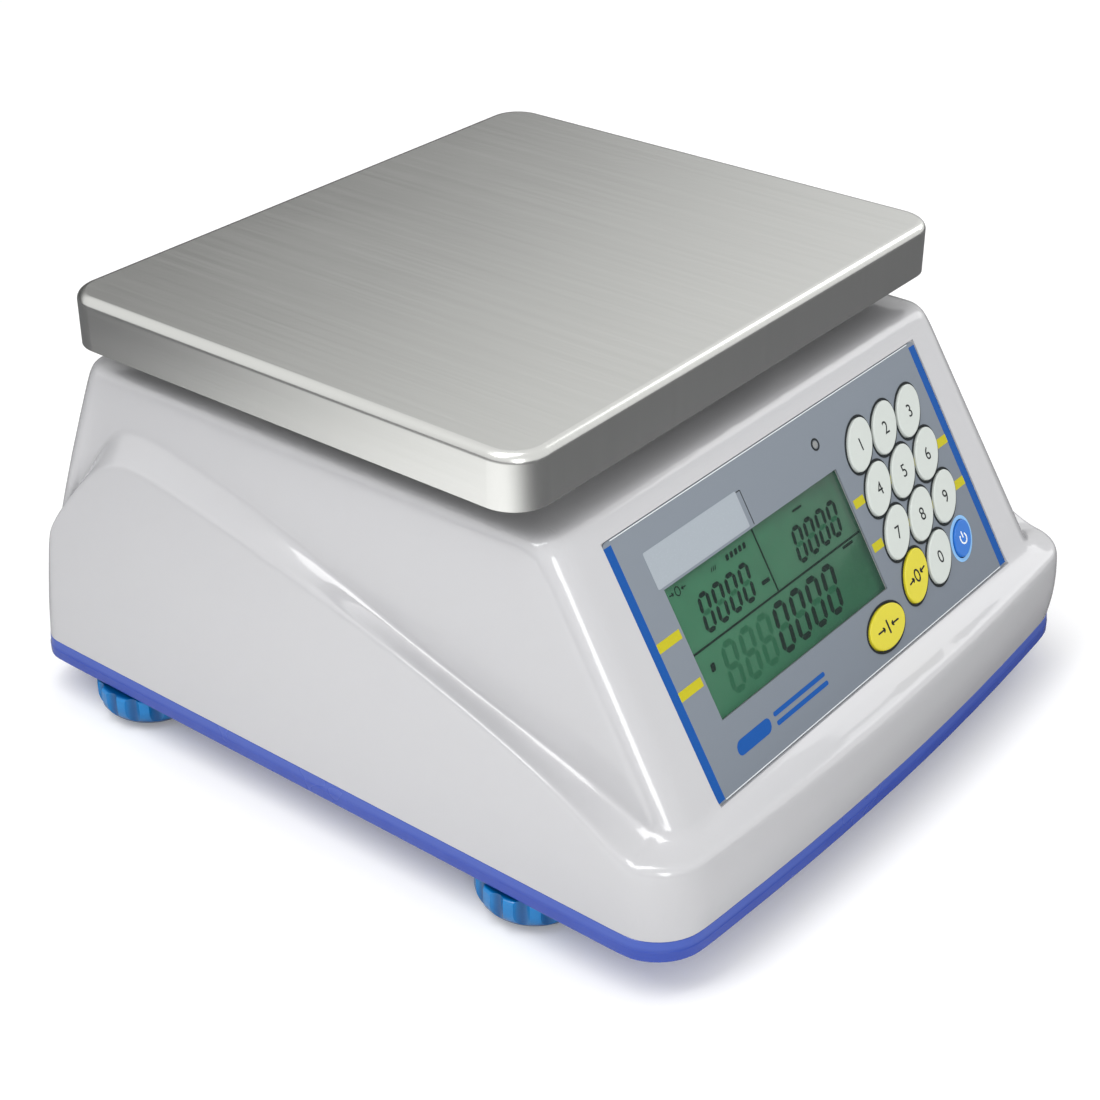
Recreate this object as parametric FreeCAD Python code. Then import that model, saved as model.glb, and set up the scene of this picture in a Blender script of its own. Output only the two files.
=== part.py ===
import FreeCAD, Part
import math
import os

# Compact retail bench scale, millimetres, +Z up, front towards -Y.
# Origin: on the floor, under the middle of the base.

# ---------------------------------------------------------------- driving dimensions
# base outline, at the band
base_half_width = 124.5
base_taper = 1.9
base_half_length = 141.9
base_bow = 6.0
base_front_radius = 17.0
base_rear_radius = 12.0
# heights
foot_drop = 14.0
band_height = 7.6
band_step = 0.5
deck_height = 130.0
pan_gap = 10.5
# shell and tray
wall = 2.5
floor_thickness = 2.5
tongue_height = 3.0
tongue_wall = 1.6
tongue_gap = 0.3
# upper body
deck_half_width = 108.0
deck_rear_y = 117.0
deck_corner_radius = 10.0
deck_edge = 5.5
side_draft = 0.035
front_edge_radius = 10.0
panel_tilt = 58.4
panel_deck_y = -80.2
# wheel-arch skirt: its outer ridge rises from the front lip to a hump near the rear
lip_height = 45.5
lip_rise = 3.5
arch_start_y = -118.0
arch_start_z = 48.0
arch_top_y = 85.0
arch_top_z = 103.0
arch_power = 0.66
hump_y = 86.0
hump_z = 104.8
hump_fall = 0.0185
hump_softness = 2.5
shelf_rise = 10.0
shelf_rise_start_y = -70.0
shelf_rise_length = 105.0
side_lean = 12.0
lean_power = 1.45
front_round = 6.0
side_round = 2.6
groove_round = 3.0
shelf_hollow = 0.8
lip_flare = 2.2
# weighing pan
pan_width = 230.0
pan_depth = 190.0
pan_skirt = 18.0
pan_corner_radius = 12.6
pan_edge_radius = 3.0
pan_sheet = 1.0
pan_centre_y = 18.9
# platform and load cell
cell_length = 130.0
cell_width = 30.0
cell_height = 22.0
cell_spacer = 4.0
cell_pad_height = 3.5
cell_window_radius = 7.0
cell_window_pitch = 30.0
cell_screw_radius = 3.0
cell_screw_margin = 8.0
cell_screw_pitch = 16.0
spider_plate = 6.0
spider_half_width = 22.0
arm_width = 14.0
arm_height = 8.0
post_x = 56.0
post_y = 55.0
post_radius = 6.5
cushion_radius = 10.0
cushion_height = 7.5
cushion_peg_radius = 3.0
post_hole_gap = 2.0
collar_height = 4.0
stop_offset = 40.0
stop_radius = 3.0
stop_gap = 0.9
stop_boss_height = 18.0
# control panel: u across from the middle, v down the slope from the overlay's top edge
overlay_half_width = 88.5
overlay_margin_top = 7.3
overlay_margin_bottom = 2.6
overlay_thickness = 0.5
overlay_sink = 0.4
overlay_corner = 2.0
part_gap = 0.3
lcd_left = -72.4
lcd_right = 23.1
lcd_top = 21.8
lcd_bottom = 65.0
window_flange = 3.0
window_flange_thickness = 1.2
lcd_glass_thickness = 2.2
backlight_thickness = 3.0
display_frame_wall = 2.0
board_thickness = 1.6
display_board_depth = 10.0
display_board_margin = 5.0
# keys
key_major = 9.7
key_minor = 6.0
key_slant = 46.0
key_column_first = 38.9
key_column_pitch = 15.7
key_row_first = 19.6
key_row_pitch = 16.0
key_proud = 1.0
key_depth = 4.0
key_travel = 0.5
key_edge = 0.45
tare_u = 14.6
tare_v = 75.1
tare_major = 10.6
tare_minor = 6.5
tare_slant = 8.0
power_major = 6.8
power_minor = 4.4
plunger_radius = 3.4
dome_radius = 3.6
dome_height = 0.5
membrane_thickness = 1.0
led_u = 18.3
led_v = 11.2
led_radius = 1.2
# feet
foot_x = 106.5
foot_front_y = -73.6
foot_rear_y = 99.9
knob_top_radius = 19.2
knob_bottom_radius = 16.2
knob_clearance = 1.0
knob_flutes = 14
knob_flute_radius = 3.0
pad_radius = 12.0
pad_thickness = 2.5
pad_sunk = 1.0
stud_radius = 4.0
stud_length = 30.0
thread_gap = 0.05
insert_radius = 6.0
insert_height = 12.0
foot_boss_radius = 9.0
# battery
battery_x = 70.0
battery_y = -52.0
battery_width = 34.0
battery_length = 126.0
battery_height = 60.0
door_margin = 2.0
door_thickness = 2.4
door_gap = 0.4
strap_width = 16.0
strap_thickness = 1.2
strap_foot = 9.0
terminal_width = 6.3
terminal_height = 7.0
# main board
main_board_x = -110.0
main_board_y = -27.0
main_board_width = 60.0
main_board_length = 100.0
main_board_standoff = 7.0
board_hole_inset = 5.0
# fasteners
pillar_front_x = 66.0
pillar_front_y = -60.0
pillar_rear_x = 84.0
pillar_rear_y = 84.0
pillar_radius = 5.0
pillar_hole_radius = 1.75
screw_radius = 1.6
screw_head_radius = 3.2
screw_head_height = 2.4
# direct-current inlet
inlet_x = -64.0
inlet_z = 36.5
inlet_seat_radius = 9.0
inlet_barrel_radius = 5.5
inlet_flange_radius = 7.5
inlet_socket_radius = 3.1
inlet_pin_radius = 1.0
inlet_length = 20.0
# spirit level, set in the deck under the pan
level_x = 0.0
level_y = -49.0
level_radius = 9.0
level_height = 8.0
level_ring = 2.0
# leads
lead_radius = 1.3
cell_lead_radius = 2.0
ribbon_width = 20.0
ribbon_thickness = 0.9

# ---------------------------------------------------------------- worked-out sizes
housing_bottom = foot_drop + band_height
floor_top = foot_drop + floor_thickness
pan_top = deck_height + pan_gap + pan_skirt
cell_bottom = floor_top + cell_pad_height + cell_spacer
cell_top = cell_bottom + cell_height
spider_bottom = cell_top + cell_spacer
cushion_top = pan_top - pan_sheet
post_top = cushion_top - cushion_height
lean_height = deck_height - housing_bottom
tilt = math.radians(panel_tilt)
groove_front = lip_height + lip_rise
slope_length = (deck_height - groove_front) / math.sin(tilt)
overlay_height = slope_length - overlay_margin_top - overlay_margin_bottom
overlay_face = FreeCAD.Vector(
    0.0,
    panel_deck_y - overlay_margin_top * math.cos(tilt) + overlay_sink * math.sin(tilt),
    deck_height - overlay_margin_top * math.sin(tilt) - overlay_sink * math.cos(tilt),
)
wall_back = wall - overlay_sink

POLES_PER_CORNER = 6
POLE_ANGLE = math.radians(90.0 / POLES_PER_CORNER)
POLE_REACH = 3.0 / (2.0 + math.cos(POLE_ANGLE))
FRONT_STATIONS = (0.0, 0.3, 0.6, 0.85)
SIDE_STATIONS = (0.0, 0.08, 0.2, 0.32, 0.44, 0.56, 0.66, 0.74, 0.81, 0.87, 0.93, 1.0)
BACK_STATIONS = (0.8, 0.5, 0.2, 0.0)


def vec(x, y, z=0.0):
    return FreeCAD.Vector(x, y, z)


def mix(a, b, share):
    """Point or number a share of the way from a to b."""
    return a + (b - a) * share


def smooth(share):
    """Ease from 0 to 1 with level ends."""
    share = min(max(share, 0.0), 1.0)
    return share * share * (3.0 - 2.0 * share)


def soft_min(a, b, softness):
    low = min(a, b)
    return low - softness * math.log(
        math.exp((low - a) / softness) + math.exp((low - b) / softness)
    )


def soft_max(a, b, softness):
    return -soft_min(-a, -b, softness)


# ---------------------------------------------------------------- basic solids
def box(x0, x1, y0, y1, z0, z1):
    return Part.makeBox(x1 - x0, y1 - y0, z1 - z0, vec(x0, y0, z0))


def rod(x, y, z0, z1, radius):
    return Part.makeCylinder(radius, z1 - z0, vec(x, y, z0))


def ring(x, y, z0, z1, outer, inner):
    return rod(x, y, z0, z1, outer).cut(rod(x, y, z0 - 1.0, z1 + 1.0, inner))


def rounded_box(x0, x1, y0, y1, z0, z1, radius):
    """Box whose upright edges have the given radius."""
    block = box(x0, x1, y0, y1, z0, z1)
    upright = []
    for edge in block.Edges:
        start = edge.Vertexes[0].Point
        end = edge.Vertexes[-1].Point
        if abs(start.z - end.z) > 0.9 * (z1 - z0):
            upright.append(edge)
    return block.makeFillet(radius, upright)


def oval(u, v, major, minor, slant, low, high):
    """Upright elliptical prism in panel coordinates, its long axis turned by slant."""
    curve = Part.Ellipse(vec(0, 0, 0), major, minor)
    face = Part.Face(Part.Wire([curve.toShape()]))
    solid = face.extrude(vec(0, 0, high - low))
    solid.rotate(vec(0, 0, 0), vec(0, 0, 1), slant)
    solid.translate(vec(u, -v, low))
    return solid


def on_panel(shape):
    """Move a shape drawn in panel coordinates (x across, y up the slope, z outwards)."""
    turn = FreeCAD.Rotation(vec(1, 0, 0), panel_tilt)
    moved = shape.copy()
    moved.Placement = FreeCAD.Placement(overlay_face, turn).multiply(shape.Placement)
    return moved


def panel_box(u0, u1, v0, v1, depth0, depth1):
    """Box between two depths under the overlay's face, in panel coordinates."""
    return box(u0, u1, -v1, -v0, -depth1, -depth0)


def joined(shapes):
    whole = shapes[0]
    if len(shapes) > 1:
        whole = shapes[0].multiFuse(list(shapes[1:]))
    return whole.removeSplitter()


def tube(points, radius):
    """Round bar along straight runs joined by tangent arcs, each as wide as its runs allow."""
    edges = []
    start = points[0]
    for before, corner, after in zip(points, points[1:], points[2:]):
        back = (before - corner).normalize()
        ahead = (after - corner).normalize()
        turn = math.pi - back.getAngle(ahead)
        setback = 0.45 * min(before.distanceToPoint(corner), after.distanceToPoint(corner))
        bend = setback / math.tan(turn / 2.0)
        middle_way = (back + ahead).normalize()
        centre = corner + middle_way * (bend / math.cos(turn / 2.0))
        entry = corner + back * setback
        leave = corner + ahead * setback
        crown = centre - middle_way * bend
        edges.append(Part.LineSegment(start, entry).toShape())
        edges.append(Part.Arc(entry, crown, leave).toShape())
        start = leave
    edges.append(Part.LineSegment(start, points[-1]).toShape())
    spine = Part.Wire(edges)
    along = points[1] - points[0]
    profile = Part.Wire([Part.Circle(points[0], along, radius).toShape()])
    return spine.makePipeShell([profile], True, False)


# ---------------------------------------------------------------- outlines of the housing
def half_stations():
    """Stations round the right-hand half, from the front middle to the back middle."""
    stations = [("front", share) for share in FRONT_STATIONS]
    stations += [("front_corner", n / POLES_PER_CORNER) for n in range(POLES_PER_CORNER)]
    stations += [("side", share) for share in SIDE_STATIONS]
    stations += [("rear_corner", n / POLES_PER_CORNER) for n in range(1, POLES_PER_CORNER + 1)]
    stations += [("back", share) for share in BACK_STATIONS]
    return stations


def outline_point(station, half_width, front_y, back_y, front_radius, rear_radius):
    """Point and outward direction on a rounded rectangle."""
    stretch, share = station
    front_x = half_width - front_radius
    rear_x = half_width - rear_radius
    if stretch == "front":
        return vec(front_x * share, front_y), vec(0, -1)
    if stretch == "front_corner":
        angle = math.radians(90.0 * share)
        out = vec(math.sin(angle), -math.cos(angle))
        return vec(front_x, front_y + front_radius) + out * (front_radius * POLE_REACH), out
    if stretch == "side":
        y = mix(front_y + front_radius, back_y - rear_radius, share)
        return vec(half_width, y), vec(1, 0)
    if stretch == "rear_corner":
        angle = math.radians(90.0 * share)
        out = vec(math.cos(angle), math.sin(angle))
        return vec(rear_x, back_y - rear_radius) + out * (rear_radius * POLE_REACH), out
    return vec(rear_x * share, back_y), vec(0, 1)


def base_point(station, inset):
    """Point and outward direction on the base outline: tapered sides and a bowed front."""
    point, out = outline_point(
        station,
        base_half_width - inset,
        inset - base_half_length,
        base_half_length - inset,
        base_front_radius - inset,
        base_rear_radius - inset,
    )
    across = point.x / base_half_width
    along = (point.y + base_half_length) / (2.0 * base_half_length)
    bow = base_bow * across * across * smooth(1.0 - 2.0 * along)
    return vec(point.x - across * base_taper * along, point.y + bow), out


def panel_y(z):
    """Front face of the body at height z."""
    return panel_deck_y - (deck_height - z) / math.tan(tilt)


def ridge_height(y):
    """Height of the skirt's outer ridge at a place along the side."""
    reach = max((y - arch_start_y) / (arch_top_y - arch_start_y), 0.0)
    rising = arch_start_z + (arch_top_z - arch_start_z) * reach ** arch_power
    falling = hump_z - hump_fall * max(y - hump_y, 0.0) ** 2
    side = soft_min(rising, falling, hump_softness)
    return soft_max(side, lip_height, 1.2)


def groove_rise(y):
    """How far the groove between skirt and body lies above the ridge."""
    front = lip_rise * smooth((arch_start_y + 30.0 - y) / 40.0)
    rear = shelf_rise * smooth((y - shelf_rise_start_y) / shelf_rise_length)
    return front + rear


def ridge_round(y):
    """Distance over which the skirt's wall turns into its shelf: wide in front, tight at the side."""
    return mix(front_round, side_round, smooth((y + base_half_length - base_bow) / 40.0))


def rear_share(station):
    """0 where skirt and body are separate surfaces, 1 where the back is one smooth wall."""
    stretch, share = station
    if stretch == "back":
        return 1.0
    if stretch == "rear_corner":
        return smooth(0.1 + 0.9 * share)
    return 0.0


def skin_column(station):
    """Poles of the housing's skin at one station, from the bottom edge to the deck."""
    base, out = base_point(station, band_step)
    deck, deck_out = outline_point(
        station, deck_half_width, panel_deck_y, deck_rear_y, front_edge_radius, deck_corner_radius
    )
    joined_share = rear_share(station)

    def lean(z):
        return max((z - housing_bottom) / lean_height, 0.0) ** lean_power

    def skirt(z):
        bulge = lip_flare * smooth(2.0 * (z - housing_bottom) / (lip_height - housing_bottom))
        bulge = bulge * smooth(1.0 - (base.y + base_half_length - base_bow) / (0.8 * base_half_length))
        apart = base + out * (bulge - side_lean * lean(z))
        whole = mix(base, deck, lean(z))
        flat = mix(apart, whole, joined_share)
        return vec(flat.x, flat.y, z)

    ridge_z = ridge_height(base.y)
    groove_z = ridge_z + groove_rise(base.y)
    body, _ = outline_point(
        station,
        deck_half_width + side_draft * (deck_height - groove_z),
        panel_y(groove_z),
        base_half_length - base_rear_radius / 2.0,
        front_edge_radius,
        base_rear_radius,
    )
    foot_flat = mix(body, mix(base, deck, lean(groove_z)), joined_share)
    groove = vec(foot_flat.x, foot_flat.y, groove_z)
    deck_edge_pole = vec(deck.x, deck.y, deck_height)
    ridge = skirt(ridge_z)
    round_off = ridge_round(base.y)

    def on_shelf(share):
        point = mix(ridge, groove, share)
        return point - vec(0, 0, shelf_hollow * 4.0 * share * (1.0 - share) * (1.0 - joined_share))

    def body_point(share):
        z = mix(groove_z, deck_height, share)
        straight = mix(groove, deck_edge_pole, share)
        whole = mix(base, deck, lean(z))
        flat = mix(straight, whole, joined_share)
        return vec(flat.x, flat.y, z)

    def deck_inside(distance):
        return deck_edge_pole - deck_out * distance

    body_height = deck_height - groove_z
    return [
        skirt(housing_bottom),
        skirt(mix(housing_bottom, ridge_z, 0.33)),
        skirt(mix(housing_bottom, ridge_z, 0.66)),
        skirt(ridge_z - round_off),
        ridge,
        on_shelf(0.3),
        on_shelf(0.72),
        groove,
        body_point(min(groove_round / body_height, 0.15)),
        body_point(0.5),
        body_point(1.0 - min(1.4 * deck_edge / body_height, 0.3)),
        deck_edge_pole,
        deck_inside(deck_edge),
        deck_inside(min(2.2 * deck_edge, 0.9 * deck_corner_radius, 0.9 * front_edge_radius)),
    ]


def mirrored(half):
    """Close a half loop of columns with its mirror image."""
    other = [[vec(-p.x, p.y, p.z) for p in column] for column in half[-2:0:-1]]
    return half + other


def inset_columns(columns, distance):
    """Columns moved inwards along the skin's own normals."""
    count = len(columns)
    rows = len(columns[0])
    moved = []
    for i in range(count):
        column = []
        for j in range(rows):
            around = columns[(i + 1) % count][j] - columns[i - 1][j]
            upward = columns[i][min(j + 1, rows - 1)] - columns[i][max(j - 1, 0)]
            normal = around.cross(upward).normalize()
            if j == 0:
                normal = vec(normal.x, normal.y).normalize()
            if j == rows - 1:
                normal = vec(0, 0, 1)
            column.append(columns[i][j] - normal * distance)
        moved.append(column)
    return moved


def skinned_solid(columns):
    """Closed solid inside a smooth surface whose poles are the given loop of columns."""
    count = len(columns)
    rows = len(columns[0])
    surface = Part.BSplineSurface()
    surface.buildFromPolesMultsKnots(
        columns,
        [1] * (count + 1),
        [4] + [1] * (rows - 4) + [4],
        [float(n) for n in range(count + 1)],
        [float(n) for n in range(rows - 2)],
        True,
        False,
        3,
        3,
    )
    side = surface.toShape()
    caps = []
    for edge in side.Edges:
        ends_meet = edge.Vertexes[0].Point.distanceToPoint(edge.Vertexes[-1].Point) < 1e-6
        level = abs(edge.BoundBox.ZLength) < 1e-6
        if ends_meet and level:
            caps.append(Part.Face(Part.Wire([edge])))
    shell = Part.Shell([side] + caps)
    shell.sewShape()
    solid = Part.Solid(shell)
    if solid.Volume < 0.0:
        solid.reverse()
    return solid


def base_ring(inset):
    """Closed smooth edge of the base outline, moved inwards by inset, at height 0."""
    half = [[base_point(station, inset)[0]] for station in half_stations()]
    poles = [column[0] for column in mirrored(half)]
    curve = Part.BSplineCurve()
    curve.buildFromPolesMultsKnots(
        poles, [1] * (len(poles) + 1), [float(n) for n in range(len(poles) + 1)], True, 3
    )
    return curve.toShape()


def base_slab(inset, z0, z1):
    """Slab with the base outline."""
    face = Part.Face(Part.Wire([base_ring(inset)]))
    slab = face.extrude(vec(0, 0, z1 - z0))
    slab.translate(vec(0, 0, z0))
    return slab


def banded_solid(profile):
    """Solid with the base outline, whose inset and height follow a profile of corners."""
    rings = []
    for inset, z in profile:
        edge = base_ring(inset)
        edge.translate(vec(0, 0, z))
        rings.append(edge)
    faces = [Part.makeRuledSurface(low, high) for low, high in zip(rings, rings[1:])]
    faces.append(Part.Face(Part.Wire([rings[0]])))
    faces.append(Part.Face(Part.Wire([rings[-1]])))
    shell = Part.Shell(faces)
    shell.sewShape()
    solid = Part.Solid(shell)
    if solid.Volume < 0.0:
        solid.reverse()
    return solid


# ---------------------------------------------------------------- places of repeated things
def both_sides(x, y):
    return [(x, y), (-x, y)]


def foot_places():
    places = {}
    for side, x in (("left", -foot_x), ("right", foot_x)):
        places["front_" + side] = (x, foot_front_y)
        places["rear_" + side] = (x, foot_rear_y)
    return places


def pillar_places():
    return both_sides(pillar_front_x, pillar_front_y) + both_sides(pillar_rear_x, pillar_rear_y)


def post_places():
    low = both_sides(post_x, pan_centre_y - post_y)
    return low + both_sides(post_x, pan_centre_y + post_y)


def stop_places():
    low = both_sides(stop_offset, pan_centre_y - stop_offset)
    return low + both_sides(stop_offset, pan_centre_y + stop_offset)


def main_board_holes():
    places = []
    for x in (main_board_x + board_hole_inset, main_board_x + main_board_width - board_hole_inset):
        for y in (main_board_y + board_hole_inset, main_board_y + main_board_length - board_hole_inset):
            places.append((x, y))
    return places


def display_board_box():
    left = -overlay_half_width + display_board_margin
    right = overlay_half_width - display_board_margin
    return left, right, display_board_margin, overlay_height - display_board_margin


def display_board_holes():
    left, right, top, bottom = display_board_box()
    places = []
    for u in (left + board_hole_inset, right - board_hole_inset):
        for v in (top + board_hole_inset / 2.0, bottom - board_hole_inset / 2.0):
            places.append((u, v))
    return places


def key_layout():
    """Name, place, half axes and slant of every key."""
    columns = [key_column_first + n * key_column_pitch for n in range(3)]
    rows = [key_row_first + n * key_row_pitch for n in range(4)]
    keys = []
    for digit in range(1, 10):
        u = columns[(digit - 1) % 3]
        v = rows[(digit - 1) // 3]
        keys.append(("key_%d" % digit, u, v, key_major, key_minor, key_slant))
    keys.append(("key_zero", columns[0], rows[3], key_major, key_minor, key_slant))
    keys.append(("key_0", columns[1], rows[3], key_major, key_minor, key_slant))
    keys.append(("key_power", columns[2], rows[3], power_major, power_minor, key_slant))
    keys.append(("key_tare", tare_u, tare_v, tare_major, tare_minor, tare_slant))
    return keys


def cell_ends():
    """Screw places at the fixed end (front) and at the free end (rear) of the load cell."""
    front = pan_centre_y - cell_length / 2.0
    rear = pan_centre_y + cell_length / 2.0
    steps = (cell_screw_margin, cell_screw_margin + cell_screw_pitch)
    return [front + step for step in steps], [rear - step for step in steps]


# ---------------------------------------------------------------- housing and tray
def top_housing():
    outer_columns = mirrored([skin_column(station) for station in half_stations()])
    inner_columns = inset_columns(outer_columns, wall)
    for column in inner_columns:
        column[0].z = housing_bottom - 2.0
        column[1].z = mix(column[0].z, column[2].z, 0.5)
    hollow = skinned_solid(inner_columns)
    body = skinned_solid(outer_columns).cut(hollow)

    pieces = [body]
    for x, y in pillar_places():
        pieces.append(rod(x, y, floor_top, deck_height - wall / 2.0, pillar_radius))
    for x, y in post_places():
        pieces.append(rod(x, y, deck_height - wall / 2.0, deck_height + collar_height,
                          cushion_radius + post_hole_gap + wall))
    for u, v in display_board_holes():
        pieces.append(on_panel(Part.makeCylinder(
            3.0, display_board_depth - wall_back / 2.0, vec(u, -v, -display_board_depth))))
    level_seat = level_radius + level_ring + 2.0
    pieces.append(rod(level_x, level_y, deck_height - level_height, deck_height - 0.5, level_seat))
    pieces.append(Part.makeCylinder(
        inlet_seat_radius + 2.0, 8.0, vec(inlet_x, inlet_seat_y() - 6.0, inlet_z), vec(0, 1, 0))
        .common(hollow_up_to_wall(outer_columns)))
    body = joined(pieces)

    cuts = []
    rim = overlay_half_width + part_gap
    recess = panel_box(-rim, rim, -part_gap, overlay_height + part_gap, -5.0, overlay_thickness)
    cuts.append(on_panel(recess))
    cuts.append(on_panel(panel_box(lcd_left, lcd_right, lcd_top, lcd_bottom, -5.0, 8.0)))
    for _, u, v, major, minor, slant in key_layout():
        cuts.append(on_panel(oval(u, v, major + part_gap, minor + part_gap, slant, -7.0, 2.0)))
    cuts.append(on_panel(Part.makeCylinder(led_radius + 0.1, 10.0, vec(led_u, -led_v, -8.0))))
    for u, v in display_board_holes():
        cuts.append(on_panel(Part.makeCylinder(
            1.2, 6.0, vec(u, -v, -display_board_depth - 0.5))))
    for x, y in post_places():
        hole = cushion_radius + post_hole_gap
        cuts.append(rod(x, y, deck_height - 5.0 * wall, deck_height + 2.0 * collar_height, hole))
    for x, y in pillar_places():
        cuts.append(rod(x, y, floor_top - 1.0, floor_top + 14.0, pillar_hole_radius))
    seat = level_radius + level_ring
    cuts.append(rod(level_x, level_y, deck_height - level_height + 2.0, deck_height + 1.0, seat))
    cuts.append(Part.makeCylinder(
        inlet_seat_radius, 20.0, vec(inlet_x, inlet_seat_y(), inlet_z), vec(0, 1, 0)))
    cuts.append(Part.makeCylinder(
        inlet_barrel_radius + 0.1, 30.0, vec(inlet_x, inlet_seat_y() - 10.0, inlet_z), vec(0, 1, 0)))
    return body.cut(cuts)


def inlet_seat_y():
    """Flat seat of the inlet in the sloping back wall."""
    share = ((inlet_z + inlet_seat_radius - housing_bottom) / lean_height) ** lean_power
    wall_y = mix(base_half_length - band_step, deck_rear_y, share)
    return wall_y - 0.8


def hollow_up_to_wall(outer_columns):
    """Space inside the middle of the wall, which keeps bosses out of the outer face."""
    columns = inset_columns(outer_columns, wall * 0.4)
    return skinned_solid(columns)


def base_tray():
    profile = [
        (0.7, foot_drop),
        (0.2, foot_drop + 0.2),
        (0.0, foot_drop + 0.7),
        (0.0, foot_drop + 0.5 * band_height),
        (0.15, foot_drop + 0.5 * band_height + 0.4),
        (0.85 * band_step, foot_drop + band_height - 0.3),
        (1.6 * band_step, foot_drop + band_height),
    ]
    tray = banded_solid(profile)
    inside = band_step + wall + tongue_gap + tongue_wall
    tongue_out = band_step + wall + tongue_gap
    tongue = base_slab(tongue_out, floor_top, housing_bottom + tongue_height)
    tray = tray.fuse(tongue)
    tray = tray.cut(base_slab(inside, floor_top, housing_bottom + 2.0 * tongue_height))

    pieces = [tray]
    for x, y in foot_places().values():
        pieces.append(rod(x, y, floor_top - 1.0, foot_drop + insert_height + 1.0, foot_boss_radius))
    for x, y in stop_places():
        pieces.append(rod(x, y, floor_top - 1.0, floor_top + stop_boss_height, stop_radius + 2.0))
    for x, y in main_board_holes():
        pieces.append(rod(x, y, floor_top - 1.0, floor_top + main_board_standoff, 3.0))
    front, _ = cell_ends()
    pieces.append(box(-cell_width / 2.0 - 3.0, cell_width / 2.0 + 3.0,
                      front[0] - cell_screw_margin - 3.0, front[1] + cell_screw_margin + 3.0,
                      floor_top - 1.0, floor_top + cell_pad_height))
    tray = joined(pieces)

    cuts = []
    for x, y in foot_places().values():
        cuts.append(rod(x, y, foot_drop - 1.0, foot_drop + insert_height + 3.0, insert_radius))
    for x, y in stop_places():
        cuts.append(rod(x, y, floor_top, floor_top + stop_boss_height + 1.0, stop_radius + thread_gap))
    for x, y in main_board_holes():
        cuts.append(rod(x, y, floor_top, floor_top + main_board_standoff + 1.0, screw_radius))
    for x, y in pillar_places():
        cuts.append(rod(x, y, foot_drop - 1.0, floor_top + 1.0, screw_radius + 0.2))
        cuts.append(rod(x, y, foot_drop - 1.0, foot_drop + screw_head_height - 0.9,
                        screw_head_radius + 0.3))
    for y in front:
        cuts.append(rod(0.0, y, foot_drop - 1.0, floor_top + cell_pad_height + 1.0,
                        cell_screw_radius + 0.1))
        cuts.append(rod(0.0, y, foot_drop - 1.0, foot_drop + 3.5, 2.0 * cell_screw_radius))
    left, right, near, far = door_opening()
    cuts.append(rounded_box(left, right, near, far, foot_drop - 1.0, floor_top + 1.0, 3.0))
    for y in door_screw_places():
        cuts.append(rod(left - 4.0, y, foot_drop - 1.0, floor_top + 2.0, screw_radius - 0.2))
    return tray.cut(cuts).removeSplitter()


def door_opening():
    left = battery_x - door_margin
    right = battery_x + battery_width + door_margin
    near = battery_y - door_margin
    far = battery_y + battery_length + door_margin
    return left, right, near, far


def door_screw_places():
    _, _, near, far = door_opening()
    return [mix(near, far, 0.25), mix(near, far, 0.75)]


# ---------------------------------------------------------------- pan, platform and load cell
def pan_block(inset, z0, z1):
    half_x = pan_width / 2.0 - inset
    half_y = pan_depth / 2.0 - inset
    block = rounded_box(-half_x, half_x, pan_centre_y - half_y, pan_centre_y + half_y,
                        z0, z1, pan_corner_radius - inset)
    top = [edge for edge in block.Edges if abs(edge.BoundBox.ZMin - z1) < 1e-6]
    return block.makeFillet(pan_edge_radius - inset, top)


def weighing_pan():
    bottom = pan_top - pan_skirt
    shell = pan_block(0.0, bottom, pan_top)
    return shell.cut(pan_block(pan_sheet, bottom - 5.0, pan_top - pan_sheet))


def pan_cushions():
    cushions = []
    for x, y in post_places():
        puck = rod(x, y, post_top, cushion_top, cushion_radius)
        rim = [edge for edge in puck.Edges if abs(edge.BoundBox.ZMin - cushion_top) < 1e-6]
        puck = puck.makeFillet(1.2, rim)
        cushions.append(puck.fuse(rod(x, y, post_top - 5.0, post_top + 1.0, cushion_peg_radius)))
    return Part.makeCompound(cushions)


def platform_spider():
    _, rear = cell_ends()
    far = rear[0] + cell_screw_margin
    plate = box(-spider_half_width, spider_half_width, 2.0 * pan_centre_y - far, far,
                spider_bottom, spider_bottom + spider_plate)
    pieces = [plate]
    for x, y in post_places():
        reach = math.hypot(x, y - pan_centre_y)
        arm = box(0.0, reach, -arm_width / 2.0, arm_width / 2.0,
                  spider_bottom, spider_bottom + arm_height)
        arm.rotate(vec(0, 0, 0), vec(0, 0, 1), math.degrees(math.atan2(y - pan_centre_y, x)))
        arm.translate(vec(0, pan_centre_y, 0))
        pieces.append(arm)
        pieces.append(rod(x, y, spider_bottom, spider_bottom + arm_height + 4.0, post_radius + 2.5))
        pieces.append(Part.makeCone(post_radius + 0.8, post_radius, post_top - 4.0 - spider_bottom,
                                    vec(x, y, spider_bottom)))
        pieces.append(rod(x, y, post_top - 4.0, post_top, cushion_radius))
    spider = joined(pieces)
    cuts = []
    for x, y in post_places():
        cuts.append(rod(x, y, post_top - 6.0, post_top + 1.0, cushion_peg_radius + thread_gap))
    for y in rear:
        cuts.append(rod(0.0, y, spider_bottom - 1.0, spider_bottom + 2.0 * arm_height,
                        cell_screw_radius + 0.2))
    return spider.cut(cuts)


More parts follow.
